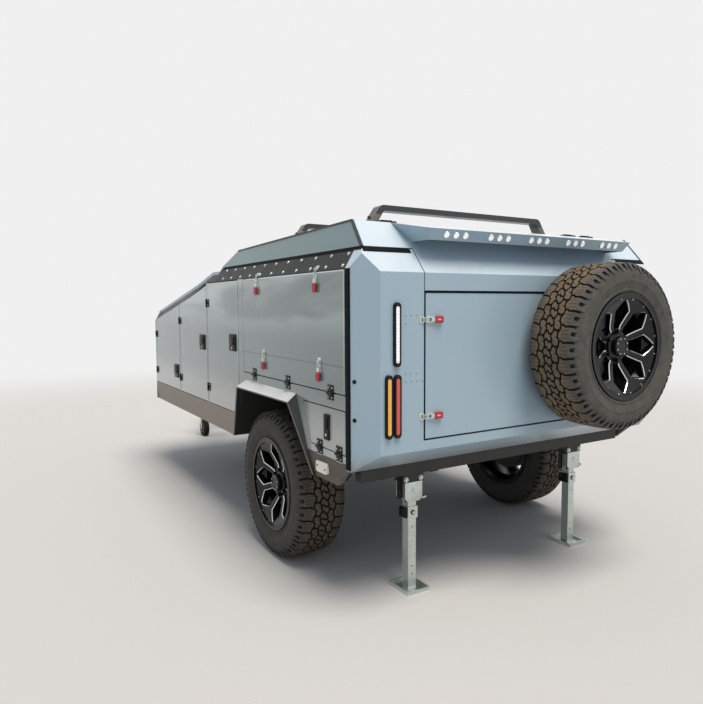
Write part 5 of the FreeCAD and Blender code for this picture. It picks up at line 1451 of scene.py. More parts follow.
@dataclass
class LidTrims:
    """Edge strips, buffers, bar feet and lamp rings that ride on the lid."""

    rear_low: Triple = (-862.1, 910.0, 1573.0)
    rear_high: Triple = (-766.0, 897.2, 1689.0)
    front_high: Triple = (530.0, 900.4, 1660.0)
    side_normal: Triple = (0.0, 1.0, 0.11)
    top_normal: Triple = (0.0224, 0.0, 1.0)
    rear_normal: Triple = (-0.77, 0.0, 0.638)
    strip_widths: Pair = (7.0, 8.0)
    strip_thick: float = 2.2
    bar_xs: Pair = (370.0, -430.0)
    # Outer and inner edge of a bar's leg: place across at two heights.
    leg_outer: Outline = ((634.0, 1692.0), (577.0, 1774.0))
    leg_inner: Outline = ((538.0, 1774.0), (592.0, 1692.0))
    lamp_groups: tuple[float, ...] = (500.0, 250.0, 0.0, -250.0, -500.0)
    lamp_pitch: float = 52.0
    lip_middle: Pair = (-962.0, 1625.5)
    lip_degrees: float = -31.9
    ring_section: Outline = (
        (13.0, 2.6), (14.2, 3.6), (15.4, 3.4), (16.4, 1.8), (16.6, -1.0), (13.0, -1.0), (13.0, 2.6))
    buffer_ys: tuple[float, ...] = (700.0, -470.0, -610.0)
    # A buffer and the rib on it: low and high X, half of its length, low and high Z, rounding.
    buffer_steps: tuple[tuple[float, ...], ...] = (
        (-748, -706, 46, 1686, 1699, 4.0), (-736, -718, 30, 1697, 1703, 2.5))

    def top_z(self, x: float) -> float:
        """Return the height of the lid's top at a place along it."""
        share = (x - self.rear_high[0]) / (self.front_high[0] - self.rear_high[0])
        return self.rear_high[2] + (self.front_high[2] - self.rear_high[2]) * share

    def edge_strips(self) -> None:
        """Lay dark angle strips over the lid's long top edges and its slanted rear edges."""
        runs = (
            (self.rear_high, self.front_high, self.top_normal),
            (self.rear_low, self.rear_high, self.rear_normal),
        )
        strips = [angle_strip(start, end, self.side_normal, other, width, self.strip_thick)
                  for (start, end, other), width in zip(runs, self.strip_widths)]
        strips = [dress(strip, Finish.TRIM_BLACK) for strip in strips]
        settle(joined(both_sides(strips)), "lid_edge_strips", "lid")

    def bar_feet(self) -> None:
        """Clothe the legs of both roof bars in grey cast feet with a black bolt and a pad."""
        feet = []
        for x in self.bar_xs:
            top_z = self.top_z(x)
            outline = [(x - 32.5, y, z) for y, z in self.leg_outer + self.leg_inner]
            foot = dress(prism(outline, (65, 0, 0), 4.0), Finish.FOOT_GREY)
            base = [(x - 38, 664, top_z - 2), (x - 38, 664, top_z + 7), (x - 38, 640, top_z + 26),
                    (x - 38, 586, top_z + 26), (x - 38, 572, top_z + 7), (x - 38, 572, top_z - 2)]
            pad = [(x - 42, 672, top_z - 3), (x - 42, 672, top_z + 4), (x - 42, 562, top_z + 4),
                   (x - 42, 562, top_z - 3)]
            feet += [foot, dress(prism(base, (76, 0, 0), 3.0), Finish.FOOT_GREY),
                     dress(prism(pad, (84, 0, 0), 1.5), Finish.SEAL)]
            bolts = [rod(8.5, (x, 592, 1756), (x, 601, 1763), 2.0, 6)]
            bolts += [rod(5.5, (x + near, 652, top_z + 8), (x + near, 656, top_z + 21), 1.5, 16)
                      for near in (-24, 24)]
            feet += [dress(bolt, Finish.TRIM_BLACK) for bolt in bolts]
        settle(joined(both_sides(feet)), "bar_feet", "lid")

    def buffers(self) -> None:
        """Stand low black rubber buffers along the lid's rear top edge."""
        made = [dress(box((x0, y - half, z0), (x1, y + half, z1), round_mm), Finish.SEAL)
                for y in self.buffer_ys for x0, x1, half, z0, z1, round_mm in self.buffer_steps]
        settle(joined(made), "lid_buffers", "lid")

    def lamp_rings(self) -> None:
        """Ring every lamp of the visor with a pressed bright bezel."""
        ring = dress(spun(self.ring_section, 24), Finish.ZINC)
        x, z = self.lip_middle
        places = [shift(x, group + n * self.lamp_pitch, z) @ turn(self.lip_degrees, "Y") @ turn(90, "Z")
                  for group in self.lamp_groups for n in (-1, 0, 1)]
        settle(joined(copies(ring, places)), "visor_lamp_rings", "lid")

    def build(self) -> None:
        """Make every trim on the lid."""
        self.edge_strips()
        self.bar_feet()
        self.buffers()
        self.lamp_rings()


@dataclass
class LampCells:
    """Black frames round the rear lamps, and the row of light cells in the clear one."""

    face_x: float = -962.0
    cell_count: int = 16
    cell_pitch: float = 13.4
    bezel_x: float = -959.0
    front_x: float = -962.6
    # Middle of the clear, amber and red lamp: place across and height.
    places: Outline = ((800.0, 1213.0), (840.0, 920.0), (798.0, 920.0))
    frame_half: Pair = (17.0, 131.0)
    opening_half: Pair = (8.6, 116.0)
    end_steps: int = 12
    screw_z: float = 123.5

    def stadium(self, half: Pair, x: float) -> list[Triple]:
        """Return the corners of an upright outline with round ends, at one place along X.

        Args:
            half: Half of its width and half of its height.
            x: Where it stands.

        Returns:
            The corners.
        """
        width, height = half
        corners = []
        for step in range(2 * self.end_steps + 2):
            end = 1 if step <= self.end_steps else -1
            angle = math.pi * (step if end > 0 else step - 1) / self.end_steps
            corners.append((x, width * math.cos(angle), end * (height - width) + width * math.sin(angle)))
        return corners

    def frames(self) -> None:
        """Frame every lamp in black plastic that hides the lens's rim, with screwed round ends."""
        ring = prism(self.stadium(self.frame_half, self.bezel_x + 0.3), (self.front_x - self.bezel_x, 0, 0),
                     1.2)
        opening = prism(self.stadium(self.opening_half, self.bezel_x + 5), (-15, 0, 0))
        ring = dress(cut_by(ring, opening), Finish.BLACK_PLASTIC)
        screws = copies(stud(3.2, 1.2, Finish.TRIM_BLACK), [
            shift(self.front_x + 0.3, 0, z) @ turn(90, "Z") for z in (-self.screw_z, self.screw_z)])
        model = joined([ring] + screws)
        pieces = copies(model, [shift(0, y, z) for y, z in self.places])
        settle(joined(both_sides(pieces)), "lamp_frames", "trailer")

    def cells(self) -> None:
        """Set a row of small domed cells into the clear lamp."""
        y, z = self.places[0]
        cell = box((-1.2, -5.4, -5.2), (1.6, 5.4, 5.2), 1.8)
        dress(cell, Finish.VISOR_LENS)
        first = z - self.cell_pitch * (self.cell_count - 1) / 2
        places = [shift(self.face_x, y, first + self.cell_pitch * n) for n in range(self.cell_count)]
        settle(joined(both_sides(copies(cell, places))), "clear_lamp_cells", "trailer")

    def build(self) -> None:
        """Make the lamps' fine parts."""
        self.cells()
        self.frames()


@dataclass
class ToggleLatch:
    """Over-centre toggle latch with a red grip, modelled up along Z on a face at Y zero."""

    half_length: float = 55.0
    rise: float = 20.0
    pivot: Pair = (8.6, 0.0)
    cheek_x: float = 11.2
    cheek_thick: float = 1.6
    cheek_outline: Outline = ((1, -17), (1, 15), (8, 9), (11, -4), (9, -17))
    arm_x: float = 7.4
    arm_radius: float = 1.9
    bar_radius: float = 2.1

    def latch(self, bar_y: float, bar_z: float) -> Piece:
        """Make the part that rides on the door.

        Args:
            bar_y: How far out the hooked bar lies.
            bar_z: How far up it lies.

        Returns:
            The latch.
        """
        y, z = self.pivot
        bar_z -= self.rise
        base = box((-14, 0.1, -20), (14, 1.8, 24), 0.8)
        cheek = prism([(self.cheek_x - self.cheek_thick, y_up, z_up) for y_up, z_up in self.cheek_outline],
                      (self.cheek_thick, 0, 0), 0.5)
        lever = box((-8.8, 7.6, -34), (8.8, 10.6, 7), 1.2)
        pin = rod(2.2, (-12.4, y, z), (12.4, y, z), 0.6, 14)
        arms = [rod(self.arm_radius, (side * self.arm_x, y, z), (side * self.arm_x, bar_y, bar_z), 0, 10)
                for side in (-1, 1)]
        bar = rod(self.bar_radius, (-10, bar_y, bar_z), (10, bar_y, bar_z), 0.8, 12)
        rivets = copies(stud(2.6, 1.8, Finish.ZINC), [shift(x, 1.6, 18.5) for x in (-8.6, 8.6)])
        metal = [base, cheek, twin(cheek, Matrix.Scale(-1, 4, (1, 0, 0))), lever, pin, bar] + arms
        grip = box((-15, 4.6, -self.half_length), (15, 15.0, -12), 4.4)
        slot = box((-3.6, 12.4, -46), (3.6, 17, -22))
        grip = dress(cut_by(grip, slot), Finish.RED_PLASTIC)
        core = dress(box((-3.5, 11.4, -45.8), (3.5, 12.9, -22.2), 0.4), Finish.ZINC)
        whole = joined([dress(piece, Finish.ZINC) for piece in metal] + rivets + [grip, core])
        return moved(whole, shift(0, 0, self.rise))

    def catch(self, bar_y: float) -> Piece:
        """Make the catch plate round the place where the bar hooks, at Z zero.

        Args:
            bar_y: How far out the hooked bar lies.

        Returns:
            The catch.
        """
        plate = box((-15, 0.1, -8), (15, 2.0, 16), 0.8)
        lip = box((-6.8, 1, -4.9), (6.8, bar_y + 3.4, -2.4), 0.7)
        screws = copies(stud(3.0, 1.8, Finish.ZINC), [shift(x, 1.8, 9.5) for x in (-9.6, 9.6)])
        return joined([dress(piece, Finish.ZINC) for piece in (plate, lip)] + screws)


@dataclass
class HingeCover:
    """Black leaf covers over a small lying hinge: round X, with the door's leaf above Z zero."""

    half_length: float = 25.6
    thick: float = 3.3
    knuckle_radius: float = 6.15
    axis_y: float = 6.0
    middle_half: float = 8.1
    gap: float = 0.4
    door_reach: float = 35.5

    def leaf(self, reach: float, side: int) -> list[Piece]:
        """Make one leaf cover with its screws.

        Args:
            reach: How far the leaf reaches from the axis.
            side: Plus one above the axis, minus one below it.

        Returns:
            The leaf and its screws.
        """
        low, high = sorted((side * 6.6, side * reach))
        plate = dress(box((-self.half_length, 0.1, low), (self.half_length, self.thick, high), 0.9),
                      Finish.BLACK_PLASTIC)
        middle = (low + high) / 2 + side * 1.5
        screws = copies(stud(3.4, 1.9, Finish.ZINC),
                        [shift(x, self.thick - 0.1, middle) for x in (-16, 16)])
        return [plate] + screws

    def knuckle(self, start: float, end: float, side: int) -> list[Piece]:
        """Make one knuckle sleeve and the web that joins it to its leaf.

        Args:
            start: Low end along X.
            end: High end along X.
            side: Plus one for the door's leaf, minus one for the body's.

        Returns:
            The sleeve and the web.
        """
        sleeve = rod(self.knuckle_radius, (start, self.axis_y, 0), (end, self.axis_y, 0), 0.7, 20)
        low, high = sorted((0.0, side * 8.0))
        web = box((start + 0.2, 0.1, low), (end - 0.2, self.thick, high))
        return [dress(sleeve, Finish.BLACK_PLASTIC), dress(web, Finish.BLACK_PLASTIC)]

    def door_part(self) -> Piece:
        """Make the cover on the door."""
        return joined(self.leaf(self.door_reach, 1) + self.knuckle(-self.middle_half, self.middle_half, 1))

    def body_part(self, reach: float) -> Piece:
        """Make the cover on the body.

        Args:
            reach: How far its leaf reaches from the axis.

        Returns:
            The cover.
        """
        near = self.middle_half + self.gap
        ends = self.knuckle(-self.half_length, -near, -1) + self.knuckle(near, self.half_length, -1)
        return joined(self.leaf(reach, -1) + ends)


@dataclass
class FlushLatch:
    """Black flush latch: a rounded case with a finger well, a paddle and a key lock."""

    def case(self, half_x: float, half_z: float, well: tuple[float, float, float, float],
             lock: Pair) -> Piece:
        """Make one latch on a face at Y zero.

        Args:
            half_x: Half of its width.
            half_z: Half of its height.
            well: Low X, high X, low Z and high Z of the well.
            lock: Place of the key lock.

        Returns:
            The latch.
        """
        x0, x1, z0, z1 = well
        case = rounded(box((-half_x, 0.2, -half_z), (half_x, 9.0, half_z)), 6.0, 3)
        cutter = box((x0, 6.3, z0), (x1, 14.0, z1), 3.0)
        case = dress(cut_by(case, cutter), Finish.BLACK_PLASTIC)
        third = z0 + (z1 - z0) * 0.3
        paddle = prism([(x0 + 2, 6.1, z0 + 2), (x0 + 2, 7.6, z0 + 2), (x0 + 2, 9.6, third),
                        (x0 + 2, 7.9, z1 - 9), (x0 + 2, 6.1, z1 - 9)], (x1 - x0 - 4, 0, 0), 0.8)
        barrel = rod(6.4, (lock[0], 8, lock[1]), (lock[0], 11, lock[1]), 1.0, 24)
        slot = box((lock[0] - 0.9, 10, lock[1] - 4), (lock[0] + 0.9, 12, lock[1] + 4))
        lock_piece = dress(cut_by(barrel, slot), Finish.ZINC)
        return joined([case, dress(paddle, Finish.TRIM_BLACK), lock_piece])


@dataclass
class SideFittings:
    """Latches, hinge covers and bright edge beads on the side doors."""

    side_y: float = 960.0
    kitchen_low_z: float = 962.0
    kitchen_top_z: float = 1480.0
    kitchen_rear_x: float = -810.0
    kitchen_front_x: float = 320.0
    upper_xs: tuple[float, ...] = (115.0, -560.0)
    lower_xs: tuple[float, ...] = (30.0, -588.0)
    upper_z: float = 1425.0
    lower_z: float = 1032.0
    # How far out and how far up the hooked bar of each toggle lies.
    upper_bar: Pair = (1.0, 72.8)
    lower_bar: Pair = (7.6, 56.0)
    band_low_z: float = 1483.0
    band_catch_rise: float = 12.5
    lean_degrees: float = 30.47
    drop_hinge_xs: tuple[float, ...] = (164.0, -259.0, -689.0)
    drop_seam_z: float = 957.0
    hatch_hinge_xs: tuple[float, ...] = (-587.0, -761.0)
    hatch_seam_z: float = 703.0
    hatch_latch: Pair = (-658.0, 804.0)
    front_rear_xs: tuple[float, ...] = (405.0, 975.0, 1620.0)
    front_hinge_xs: tuple[float, ...] = (952.5, 1597.5, 2292.5)
    front_low_zs: tuple[float, ...] = (772.0, 709.0, 709.0)
    front_top_zs: tuple[float, ...] = (1474.0, 1462.0, 1337.0)
    front_hinge_zs: Outline = ((805.0, 1351.2), (805.0, 1225.4), (805.0, 1103.8))
    front_latch_zs: tuple[float, ...] = (1117.0, 1093.0, 844.0)
    latch_inset: float = 86.0
    # Reach of the hinge leaves on the body: under the doors, and on each front door's post.
    sill_reach: float = 30.0
    post_reaches: tuple[float, ...] = (17.5, 17.5, 35.5)
    bead: float = 3.6

    def along(self, xs: Sequence[float], z: float) -> list[Matrix]:
        """Return the places on the side at one height."""
        return [shift(x, self.side_y, z) for x in xs]

    def front_hinges(self, index: int) -> list[Matrix]:
        """Return the places of one front door's upright hinges."""
        return [shift(self.front_hinge_xs[index], self.side_y, z) @ turn(-90, "Y")
                for z in self.front_hinge_zs[index]]

    def upright_bead(self, x: float, low: float, high: float) -> Piece:
        """Make one bright bead along an upright door edge."""
        return dress(box((x, self.side_y - 0.5, low), (x + self.bead, self.side_y + 1.5, high), 0.6),
                     Finish.MILLED)

    def drop_doors(self) -> None:
        """Fit the toggles, hinge covers and beads of the drop-down kitchen doors."""
        latch, cover = ToggleLatch(), HingeCover()
        toggles = copies(latch.latch(*self.upper_bar), self.along(self.upper_xs, self.upper_z))
        toggles += copies(latch.latch(*self.lower_bar), self.along(self.lower_xs, self.lower_z))
        bar_y, bar_z = self.lower_bar
        lower_catches = copies(latch.catch(bar_y), self.along(self.lower_xs, self.lower_z + bar_z))
        covers = copies(cover.door_part(), self.along(self.drop_hinge_xs, self.drop_seam_z))
        top = box((self.kitchen_rear_x + 3, self.side_y - 0.5, self.kitchen_top_z - 6.5),
                  (self.kitchen_front_x - 3, self.side_y + 1.7, self.kitchen_top_z - 2), 0.8)
        beads = [dress(top, Finish.MILLED)]
        beads += [self.upright_bead(x, self.kitchen_low_z + 4, self.kitchen_top_z - 7)
                  for x in (self.kitchen_rear_x + 3, self.kitchen_front_x - 7)]
        self.place(toggles, "drop_toggles", "drop_door", "zinc", "drop_latches")
        self.place(lower_catches + covers + beads, "drop_fittings", "drop_door", "black_plastic")

    def hatches(self) -> None:
        """Fit the slam latch and hinge covers of the low hatches."""
        x, z = self.hatch_latch
        latch = moved(FlushLatch().case(24.0, 57.0, (-14, 14, -8, 46), (0.0, -34.0)),
                      shift(x, self.side_y, z))
        covers = copies(HingeCover().door_part(), self.along(self.hatch_hinge_xs, self.hatch_seam_z))
        self.place([latch] + covers, "hatch_fittings", "hatch", "black_plastic")

    def front_doors(self) -> None:
        """Fit the paddle latch, hinge covers and edge bead of each front door."""
        for index, rear_x in enumerate(self.front_rear_xs):
            latch = FlushLatch().case(50.0, 50.0, (-36, 36, -16, 36), (0.0, -32.0))
            moved(latch, shift(rear_x + self.latch_inset, self.side_y, self.front_latch_zs[index]))
            covers = copies(HingeCover().door_part(), self.front_hinges(index))
            bead = self.upright_bead(rear_x + 3, self.front_low_zs[index], self.front_top_zs[index])
            self.place([latch, bead] + covers, "front_fittings", "front_door", "black_plastic",
                       number="_" + str(index + 1))

    def fixed_parts(self) -> None:
        """Fit the hinge covers and catches that stay on the body."""
        cover = HingeCover()
        places = self.along(self.drop_hinge_xs, self.drop_seam_z)
        places += self.along(self.hatch_hinge_xs, self.hatch_seam_z)
        pieces = copies(cover.body_part(self.sill_reach), places)
        for index, reach in enumerate(self.post_reaches):
            pieces += copies(cover.body_part(reach), self.front_hinges(index))
        on_band = turn(self.lean_degrees, "X") @ shift(0, 0, self.band_catch_rise)
        pieces += copies(ToggleLatch().catch(8.0), [
            place @ on_band for place in self.along(self.upper_xs, self.band_low_z)])
        settle(joined(both_sides(pieces)), "side_fittings_fixed", "trailer")

    def place(self, pieces: Sequence[Piece], name: str, body: str, slot: str,
              replaced: str = "", number: str = "") -> None:
        """Join fittings and let a copy ride on the door of each side.

        Args:
            pieces: The fittings of the left door.
            name: Start of the new pieces' names.
            body: Start of the doors' body names.
            slot: The record's material slot; not used.
            replaced: Start of the names of the CAD nodes that they stand for, if any.
            number: End of the names where a side has several doors.
        """
        model = joined(pieces)
        for side, matrix in SIDES.items():
            nodes = [replaced + "_" + side] if replaced else []
            settle(twin(model, matrix), name + "_" + side + number, body + "_" + side + number, nodes)
        remove(model)

    def build(self) -> None:
        """Make every fitting on the sides."""
        self.drop_doors()
        self.hatches()
        self.front_doors()
        self.fixed_parts()


@dataclass
class RearFittings:
    """Latches, seals and carrier bolts of the rear door, with the catches on its frame."""

    rear_x: float = -950.0
    latch_y: float = 600.0
    latch_zs: tuple[float, ...] = (1272.0, 865.0)
    bar: Pair = (7.6, 67.5)
    door_half: float = 655.0
    door_low_z: float = 767.0
    door_top_z: float = 1388.0
    spare: Pair = (-280.0, 1138.0)
    carrier_half: float = 112.0
    strap_bolt_ys: tuple[float, ...] = (-635.0, -590.0, -545.0)
    hinge_zs: tuple[float, ...] = (870.0, 1270.0)

    def latches(self) -> None:
        """Lay both toggles across the door's edge, with their catches on the frame."""
        lying = turn(-90, "X") @ turn(90, "Z")
        latch = ToggleLatch()
        bar_y, bar_z = self.bar
        toggles = copies(latch.latch(bar_y, bar_z),
                         [shift(self.rear_x, self.latch_y, z) @ lying for z in self.latch_zs])
        settle(joined(toggles), "rear_toggles", "rear_door", ["rear_latches"])
        catches = copies(latch.catch(bar_y), [shift(self.rear_x, self.latch_y + bar_z, z) @ lying
                                              for z in self.latch_zs])
        settle(joined(catches), "rear_catches", "trailer")

    def seals(self) -> None:
        """Lay the rubber seals along the door's top, latch side and foot."""
        top = box((self.rear_x - 1.8, -self.door_half + 2, self.door_top_z - 5.5),
                   (self.rear_x + 3, self.door_half - 2, self.door_top_z + 2.4), 1.2)
        edge = box((self.rear_x - 0.9, self.door_half - 3.4, self.door_low_z),
                   (self.rear_x + 3, self.door_half + 0.4, self.door_top_z), 0.4)
        foot = box((self.rear_x - 0.9, -self.door_half, self.door_low_z - 0.4),
                   (self.rear_x + 3, self.door_half, self.door_low_z + 2.6), 0.4)
        seals = [dress(piece, Finish.SEAL) for piece in (top, edge, foot)]
        settle(joined(seals), "rear_door_seals", "rear_door")

    def carrier_bolts(self) -> None:
        """Bolt the spare wheel's carrier and the hinge straps to the door."""
        y, z = self.spare
        places = [shift(self.rear_x - 6, y + dy, z + dz) @ turn(90, "Z")
                  for dy in (-self.carrier_half, self.carrier_half)
                  for dz in (-self.carrier_half, self.carrier_half)]
        bolt = bolt_on_washer((8.5, 7, 1.5), (12, 2, 0.5))
        places += [shift(self.rear_x - 8, by, hz) @ turn(90, "Z")
                   for by in self.strap_bolt_ys for hz in self.hinge_zs]
        settle(joined(copies(bolt, places)), "carrier_bolts", "rear_door")

    def build(self) -> None:
        """Make the rear fittings."""
        self.latches()
        self.seals()
        self.carrier_bolts()


@dataclass
class RearLegs:
    """Zinc cheeks, bolts, lock lever and foot details of the two rear drop legs."""

    leg_x: float = -700.0
    leg_y: float = 550.0
    pivot_z: float = 475.0
    cheek_half: float = 48.0
    cheek_low_z: float = 425.0
    cheek_top_z: float = 516.0
    cheek_faces: Pair = (-733.5, -666.5)
    tube_half: float = 22.5
    plate_bolt_z: float = 531.0
    plate_bolt_half: float = 42.0
    collar_z: float = 370.0
    lever_zs: Pair = (424.5, 437.5)
    lever_reach: Pair = (83.0, 76.0)
    hole_zs: tuple[float, ...] = (74.0, 112.0, 300.0)
    hole_section: Outline = (
        (3.6, 0.7), (6.6, 0.9), (7.0, -0.5), (3.6, -0.5), (3.6, 0.7))

    def cheeks(self) -> list[Piece]:
        """Cover both hanging plates of one leg with zinc, and bolt them on.

        Returns:
            The plates and bolts.
        """
        y0, y1 = self.leg_y - self.cheek_half - 1.2, self.leg_y + self.cheek_half + 1.2
        low, top = self.cheek_low_z - 1.0, self.cheek_top_z
        outline = [(y0, top), (y1, top), (y1, low + 16), (y1 - 16, low), (y0 + 16, low), (y0, low + 16)]
        pieces = []
        for x, out in zip(self.cheek_faces, (-1, 1)):
            near, far = sorted((x + out * 0.1, x + out * 2.2))
            pieces.append(prism([(near, y, z) for y, z in outline], (far - near, 0, 0), 0.8))
            z = self.plate_bolt_z
            for y in (self.leg_y - self.plate_bolt_half, self.leg_y + self.plate_bolt_half):
                pieces += [rod(9.5, (x, y, z), (x + out * 9, y, z), 3.5, 18),
                           rod(12.5, (x, y, z), (x + out * 2, y, z), 0.6, 20)]
            y, z = self.leg_y, self.pivot_z
            pieces += [rod(11, (x, y, z), (x + out * 8, y, z), 2.5, 6),
                       rod(16, (x, y, z), (x + out * 3.4, y, z), 0.6, 24)]
        return [dress(piece, Finish.ZINC) for piece in pieces]

    def swinging(self) -> list[Piece]:
        """Make what rides on one leg: collar block, lock lever's edge, holes and the foot's weld.

        Returns:
            The left leg's fittings.
        """
        x, y, half = self.leg_x, self.leg_y, self.tube_half
        z, (low, high), (far, near) = self.collar_z, self.lever_zs, self.lever_reach
        block = dress(box((x - 27, y + 27.6, z - 24), (x + 27, y + 41, z + 24), 3.0), Finish.BLACK_PLASTIC)
        collar_bolt = dress(rod(8, (x - 27.5, y, z), (x - 36, y, z), 2.0, 6), Finish.ZINC)
        collar_ring = dress(rod(12, (x - 27.5, y, z), (x - 30.5, y, z), 0.6, 24), Finish.TRIM_BLACK)
        edge = dress(box((x - half - 1, y - far, low), (x + half + 1, y - near, high), 2.5), Finish.ZINC)
        rib = dress(box((x - 4, y - near, 433.8), (x + 4, y - 24, 437), 1.2), Finish.ZINC)
        pieces = [block, collar_bolt, collar_ring, edge, rib]
        ring = dress(spun(self.hole_section, 20), Finish.ZINC)
        core = dress(rod(4.4, (0, -0.6, 0), (0, 0.35, 0), 0, 16), Finish.BLACK_PLASTIC)
        pieces += copies(joined([ring, core]), [shift(x - half, y, z) @ turn(90, "Z") for z in self.hole_zs])
        weld = [(half - 1, 5.5), (half + 7, 6), (half + 3, 9), (half, 14), (half - 2, 14), (half - 1, 5.5)]
        bead = dress(spun([(r * 1.16, z) for r, z in weld], 4, "Z"), Finish.ZINC)
        pieces.append(moved(bead, shift(x, y, 0.5) @ turn(45, "Z")))
        return pieces

    def build(self) -> None:
        """Fit both legs."""
        settle(joined(both_sides(self.cheeks())), "leg_mount_covers", "trailer")
        model = joined(self.swinging())
        # Both levers point the same way, so the right leg's set is moved over and not mirrored.
        for side, place in (("left", shift(0, 0, 0)), ("right", shift(0, -2 * self.leg_y, 0))):
            settle(twin(model, place), "leg_fittings_" + side, "leg_" + side)
        remove(model)


@dataclass
class FrontFittings:
    """Grips, bolts and caps on the jockey wheel and the coupling."""

    jockey: Pair = (3232.26, 280.30)
    crank_reach: float = 120.0
    wheel_trail: float = 24.0
    wheel_radius: float = 85.0
    coupling_z: float = 595.0
    flange_x: float = 3482.0
    yoke_x: float = 3610.0
    # The lock handle's outline: place along and height over the coupling's middle.
    handle: Outline = (
        (3700, 46), (3762, 46), (3768, 58), (3722, 66), (3664, 96), (3658, 88), (3698, 62))
    # Sections as radius and height, or radius and place along the axle for the hub.
    grip_section: Outline = (
        (0, 866), (10.5, 866), (13.4, 871), (13.0, 900), (13.8, 930), (13.0, 952), (9.0, 958), (0, 959),
        (0, 866))
    cap_section: Outline = (
        (0, 834), (27, 834), (31.5, 830), (31.9, 812), (29.5, 811), (0, 811), (0, 834))
    hub_section: Outline = (
        (0, 27.2), (9, 27.4), (12, 26.2), (34, 24.8), (38, 27.6), (46, 27.6), (49, 24.6), (49, 20),
        (0, 20), (0, 27.2))
    band_zs: Pair = (455.0, 700.0)

    def jockey_parts(self) -> None:
        """Fit the crank's grip, the tube's cap and clamp, and the small wheel's hub."""
        x, y = self.jockey
        knob = moved(dress(spun(self.grip_section, 24, "Z"), Finish.BLACK_PLASTIC),
                     shift(x + self.crank_reach, y, 0))
        cap = moved(dress(spun(self.cap_section, 40, "Z"), Finish.BLACK_PLASTIC), shift(x, y, 0))
        bands = []
        for z in self.band_zs:
            profile = [(29.6, z), (32.4, z + 1), (32.4, z + 15), (29.6, z + 16), (29.6, z)]
            bands.append(moved(dress(spun(profile, 40, "Z"), Finish.ZINC), shift(x, y, 0)))
        settle(joined([knob, cap] + bands), "jockey_tube_fittings", "jockey_stand")
        disc = dress(spun(self.hub_section, 40), Finish.FOOT_GREY)
        slots = copies(dress(rod(5.0, (0, 24.5, 23), (0, 26.2, 23), 0.6, 14), Finish.BLACK_PLASTIC),
                       [turn(60 * n, "Y") for n in range(6)])
        side = joined([disc] + slots)
        hub_pair = joined(both_sides([side]))
        moved(hub_pair, shift(x - self.wheel_trail, y, self.wheel_radius))
        settle(hub_pair, "jockey_wheel_hub", "jockey_wheel")

    def coupling_parts(self) -> None:
        """Fit flange bolts, the lock handle and the yoke's pins to the coupling."""
        z = self.coupling_z
        bolt = bolt_on_washer((9, 8, 1.6), (13, 2.4, 0.6))
        pieces = copies(bolt, [shift(self.flange_x, y, z + up) @ turn(-90, "Z")
                               for y in (-54, 54) for up in (-30, 30)])
        pieces += [dress(rod(13, (self.yoke_x, 0, z + side * 42), (self.yoke_x, 0, z + side * 50), 2.5, 6),
                         Finish.ZINC) for side in (-1, 1)]
        handle = prism([(x, -9, z + up) for x, up in self.handle], (0, 18, 0), 2.5)
        pieces.append(dress(handle, Finish.CHASSIS_PAINT))
        nipple = rod(3.5, (3735, 56, z + 20), (3735, 64, z + 20), 1.0, 12)
        pieces.append(dress(nipple, Finish.ZINC))
        settle(joined(pieces), "coupling_fittings", "trailer")

    def build(self) -> None:
        """Make the fittings at the front."""
        self.jockey_parts()
        self.coupling_parts()


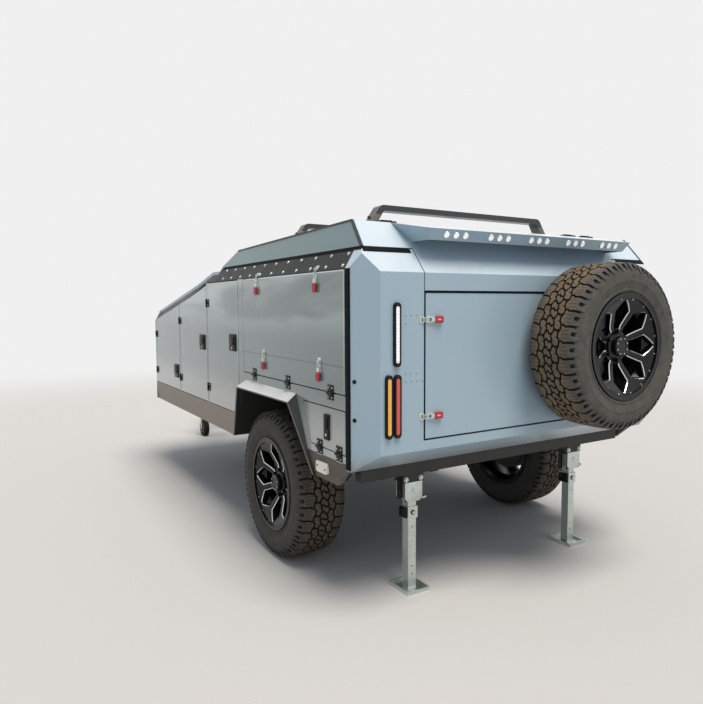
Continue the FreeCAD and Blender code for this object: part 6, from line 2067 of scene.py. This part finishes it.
@dataclass
class Studio:
    """Pale floor, soft light and the camera at the photograph's viewing angle."""

    camera_place: Triple = (-4.28325, 2.254, 1.334)
    view_direction: Triple = (0.8543, -0.5145, -0.0752)
    roll_degrees: float = 0.3
    focal_pixels: float = 622.7
    long_side_pixels: float = 704.0
    sensor_mm: float = 36.0
    floor_radius: float = 80.0
    shadow_radius: float = 4.5
    fade_radius: float = 10.0
    floor_colour: str = "#C4C4C4"
    background_colour: str = "#F0F0F0"
    fill_colour: str = "#EAF0F8"
    fill_level: float = 0.54
    sun_colour: str = "#FFF6EA"
    sun_level: float = 3.05
    sun_from: Triple = (-0.36, -0.02, 0.93)
    sun_spread_degrees: float = 30.0

    def build(self) -> None:
        """Make the camera, floor, world and sun."""
        self.camera()
        self.floor()
        self.world()
        self.sun()

    def camera(self) -> None:
        """Place the camera that was fitted to the photograph."""
        data = bpy.data.cameras.new("camera")
        data.lens = self.focal_pixels * self.sensor_mm / self.long_side_pixels
        data.sensor_width = self.sensor_mm
        data.clip_end = 200.0
        forward = Vector(self.view_direction).normalized()
        level = forward.cross(Vector((0, 0, 1))).normalized()
        level.rotate(Matrix.Rotation(math.radians(self.roll_degrees), 3, forward))
        up = level.cross(forward)
        camera = bpy.data.objects.new("camera", data)
        axes = Matrix((level, up, -forward)).transposed()
        camera.matrix_world = Matrix.Translation(self.camera_place) @ axes.to_4x4()
        bpy.context.scene.collection.objects.link(camera)
        bpy.context.scene.camera = camera

    def floor(self) -> None:
        """Lay a pale painted floor that keeps the shadow and meets the backdrop far away."""
        bpy.ops.mesh.primitive_circle_add(vertices=96, radius=self.floor_radius, fill_type="NGON")
        floor = bpy.context.object
        floor.name = "studio_floor"
        material = empty_material("painted_studio_floor")
        tree = material.node_tree
        place = add_node(tree, "TexCoord").outputs["Object"]
        far = add_node(tree, "VectorMath", {0: place}, operation="LENGTH")
        fade = add_node(tree, "MapRange", {
            "Value": far.outputs["Value"], "From Min": self.shadow_radius, "From Max": self.fade_radius},
            interpolation_type="SMOOTHSTEP")
        paint = add_node(tree, "BsdfDiffuse", {"Color": self.floor_colour})
        backdrop = add_node(tree, "Emission", {"Color": self.background_colour})
        both = add_node(tree, "MixShader", {0: fade, 1: paint, 2: backdrop})
        add_node(tree, "OutputMaterial", {"Surface": both})
        floor.data.materials.append(material)

    def world(self) -> None:
        """Light everything evenly, and show a pale backdrop to the camera and in reflections."""
        world = bpy.data.worlds.new("studio")
        bpy.context.scene.world = world
        world.use_nodes = True
        tree = world.node_tree
        tree.nodes.clear()
        ray = add_node(tree, "LightPath")
        seen = add_node(tree, "Math", {
            0: ray.outputs["Is Camera Ray"], 1: ray.outputs["Is Glossy Ray"]}, operation="MAXIMUM")
        seen = add_node(tree, "Math", {
            0: seen, 1: ray.outputs["Is Transmission Ray"]}, operation="MAXIMUM")
        fill = add_node(tree, "Background", {"Color": self.fill_colour, "Strength": self.fill_level})
        shown = add_node(tree, "Background", {"Color": self.background_colour, "Strength": 1.0})
        both = add_node(tree, "MixShader", {0: seen, 1: fill, 2: shown})
        add_node(tree, "OutputWorld", {"Surface": both})

    def sun(self) -> None:
        """Hang one wide soft sun high above and a little behind the trailer."""
        data = bpy.data.lights.new("soft_sun", "SUN")
        data.energy = self.sun_level
        data.angle = math.radians(self.sun_spread_degrees)
        data.color = linear(self.sun_colour)[:3]
        sun = bpy.data.objects.new("soft_sun", data)
        sun.rotation_euler = Vector(self.sun_from).to_track_quat("Z", "Y").to_euler()
        bpy.context.scene.collection.objects.link(sun)


def main() -> None:
    """Build the classes in order."""
    logging.basicConfig(level=logging.INFO, format="%(message)s")
    bpy.context.scene.view_settings.view_transform = "Standard"
    Studio().build()
    PackedPieces().build()
    for group in (TreadedTyre(), RimFace(), BodyTrims(), LidTrims(), LampCells(), SideFittings(),
                  RearFittings(), RearLegs(), FrontFittings()):
        group.build()


if __name__ == "__main__":
    main()
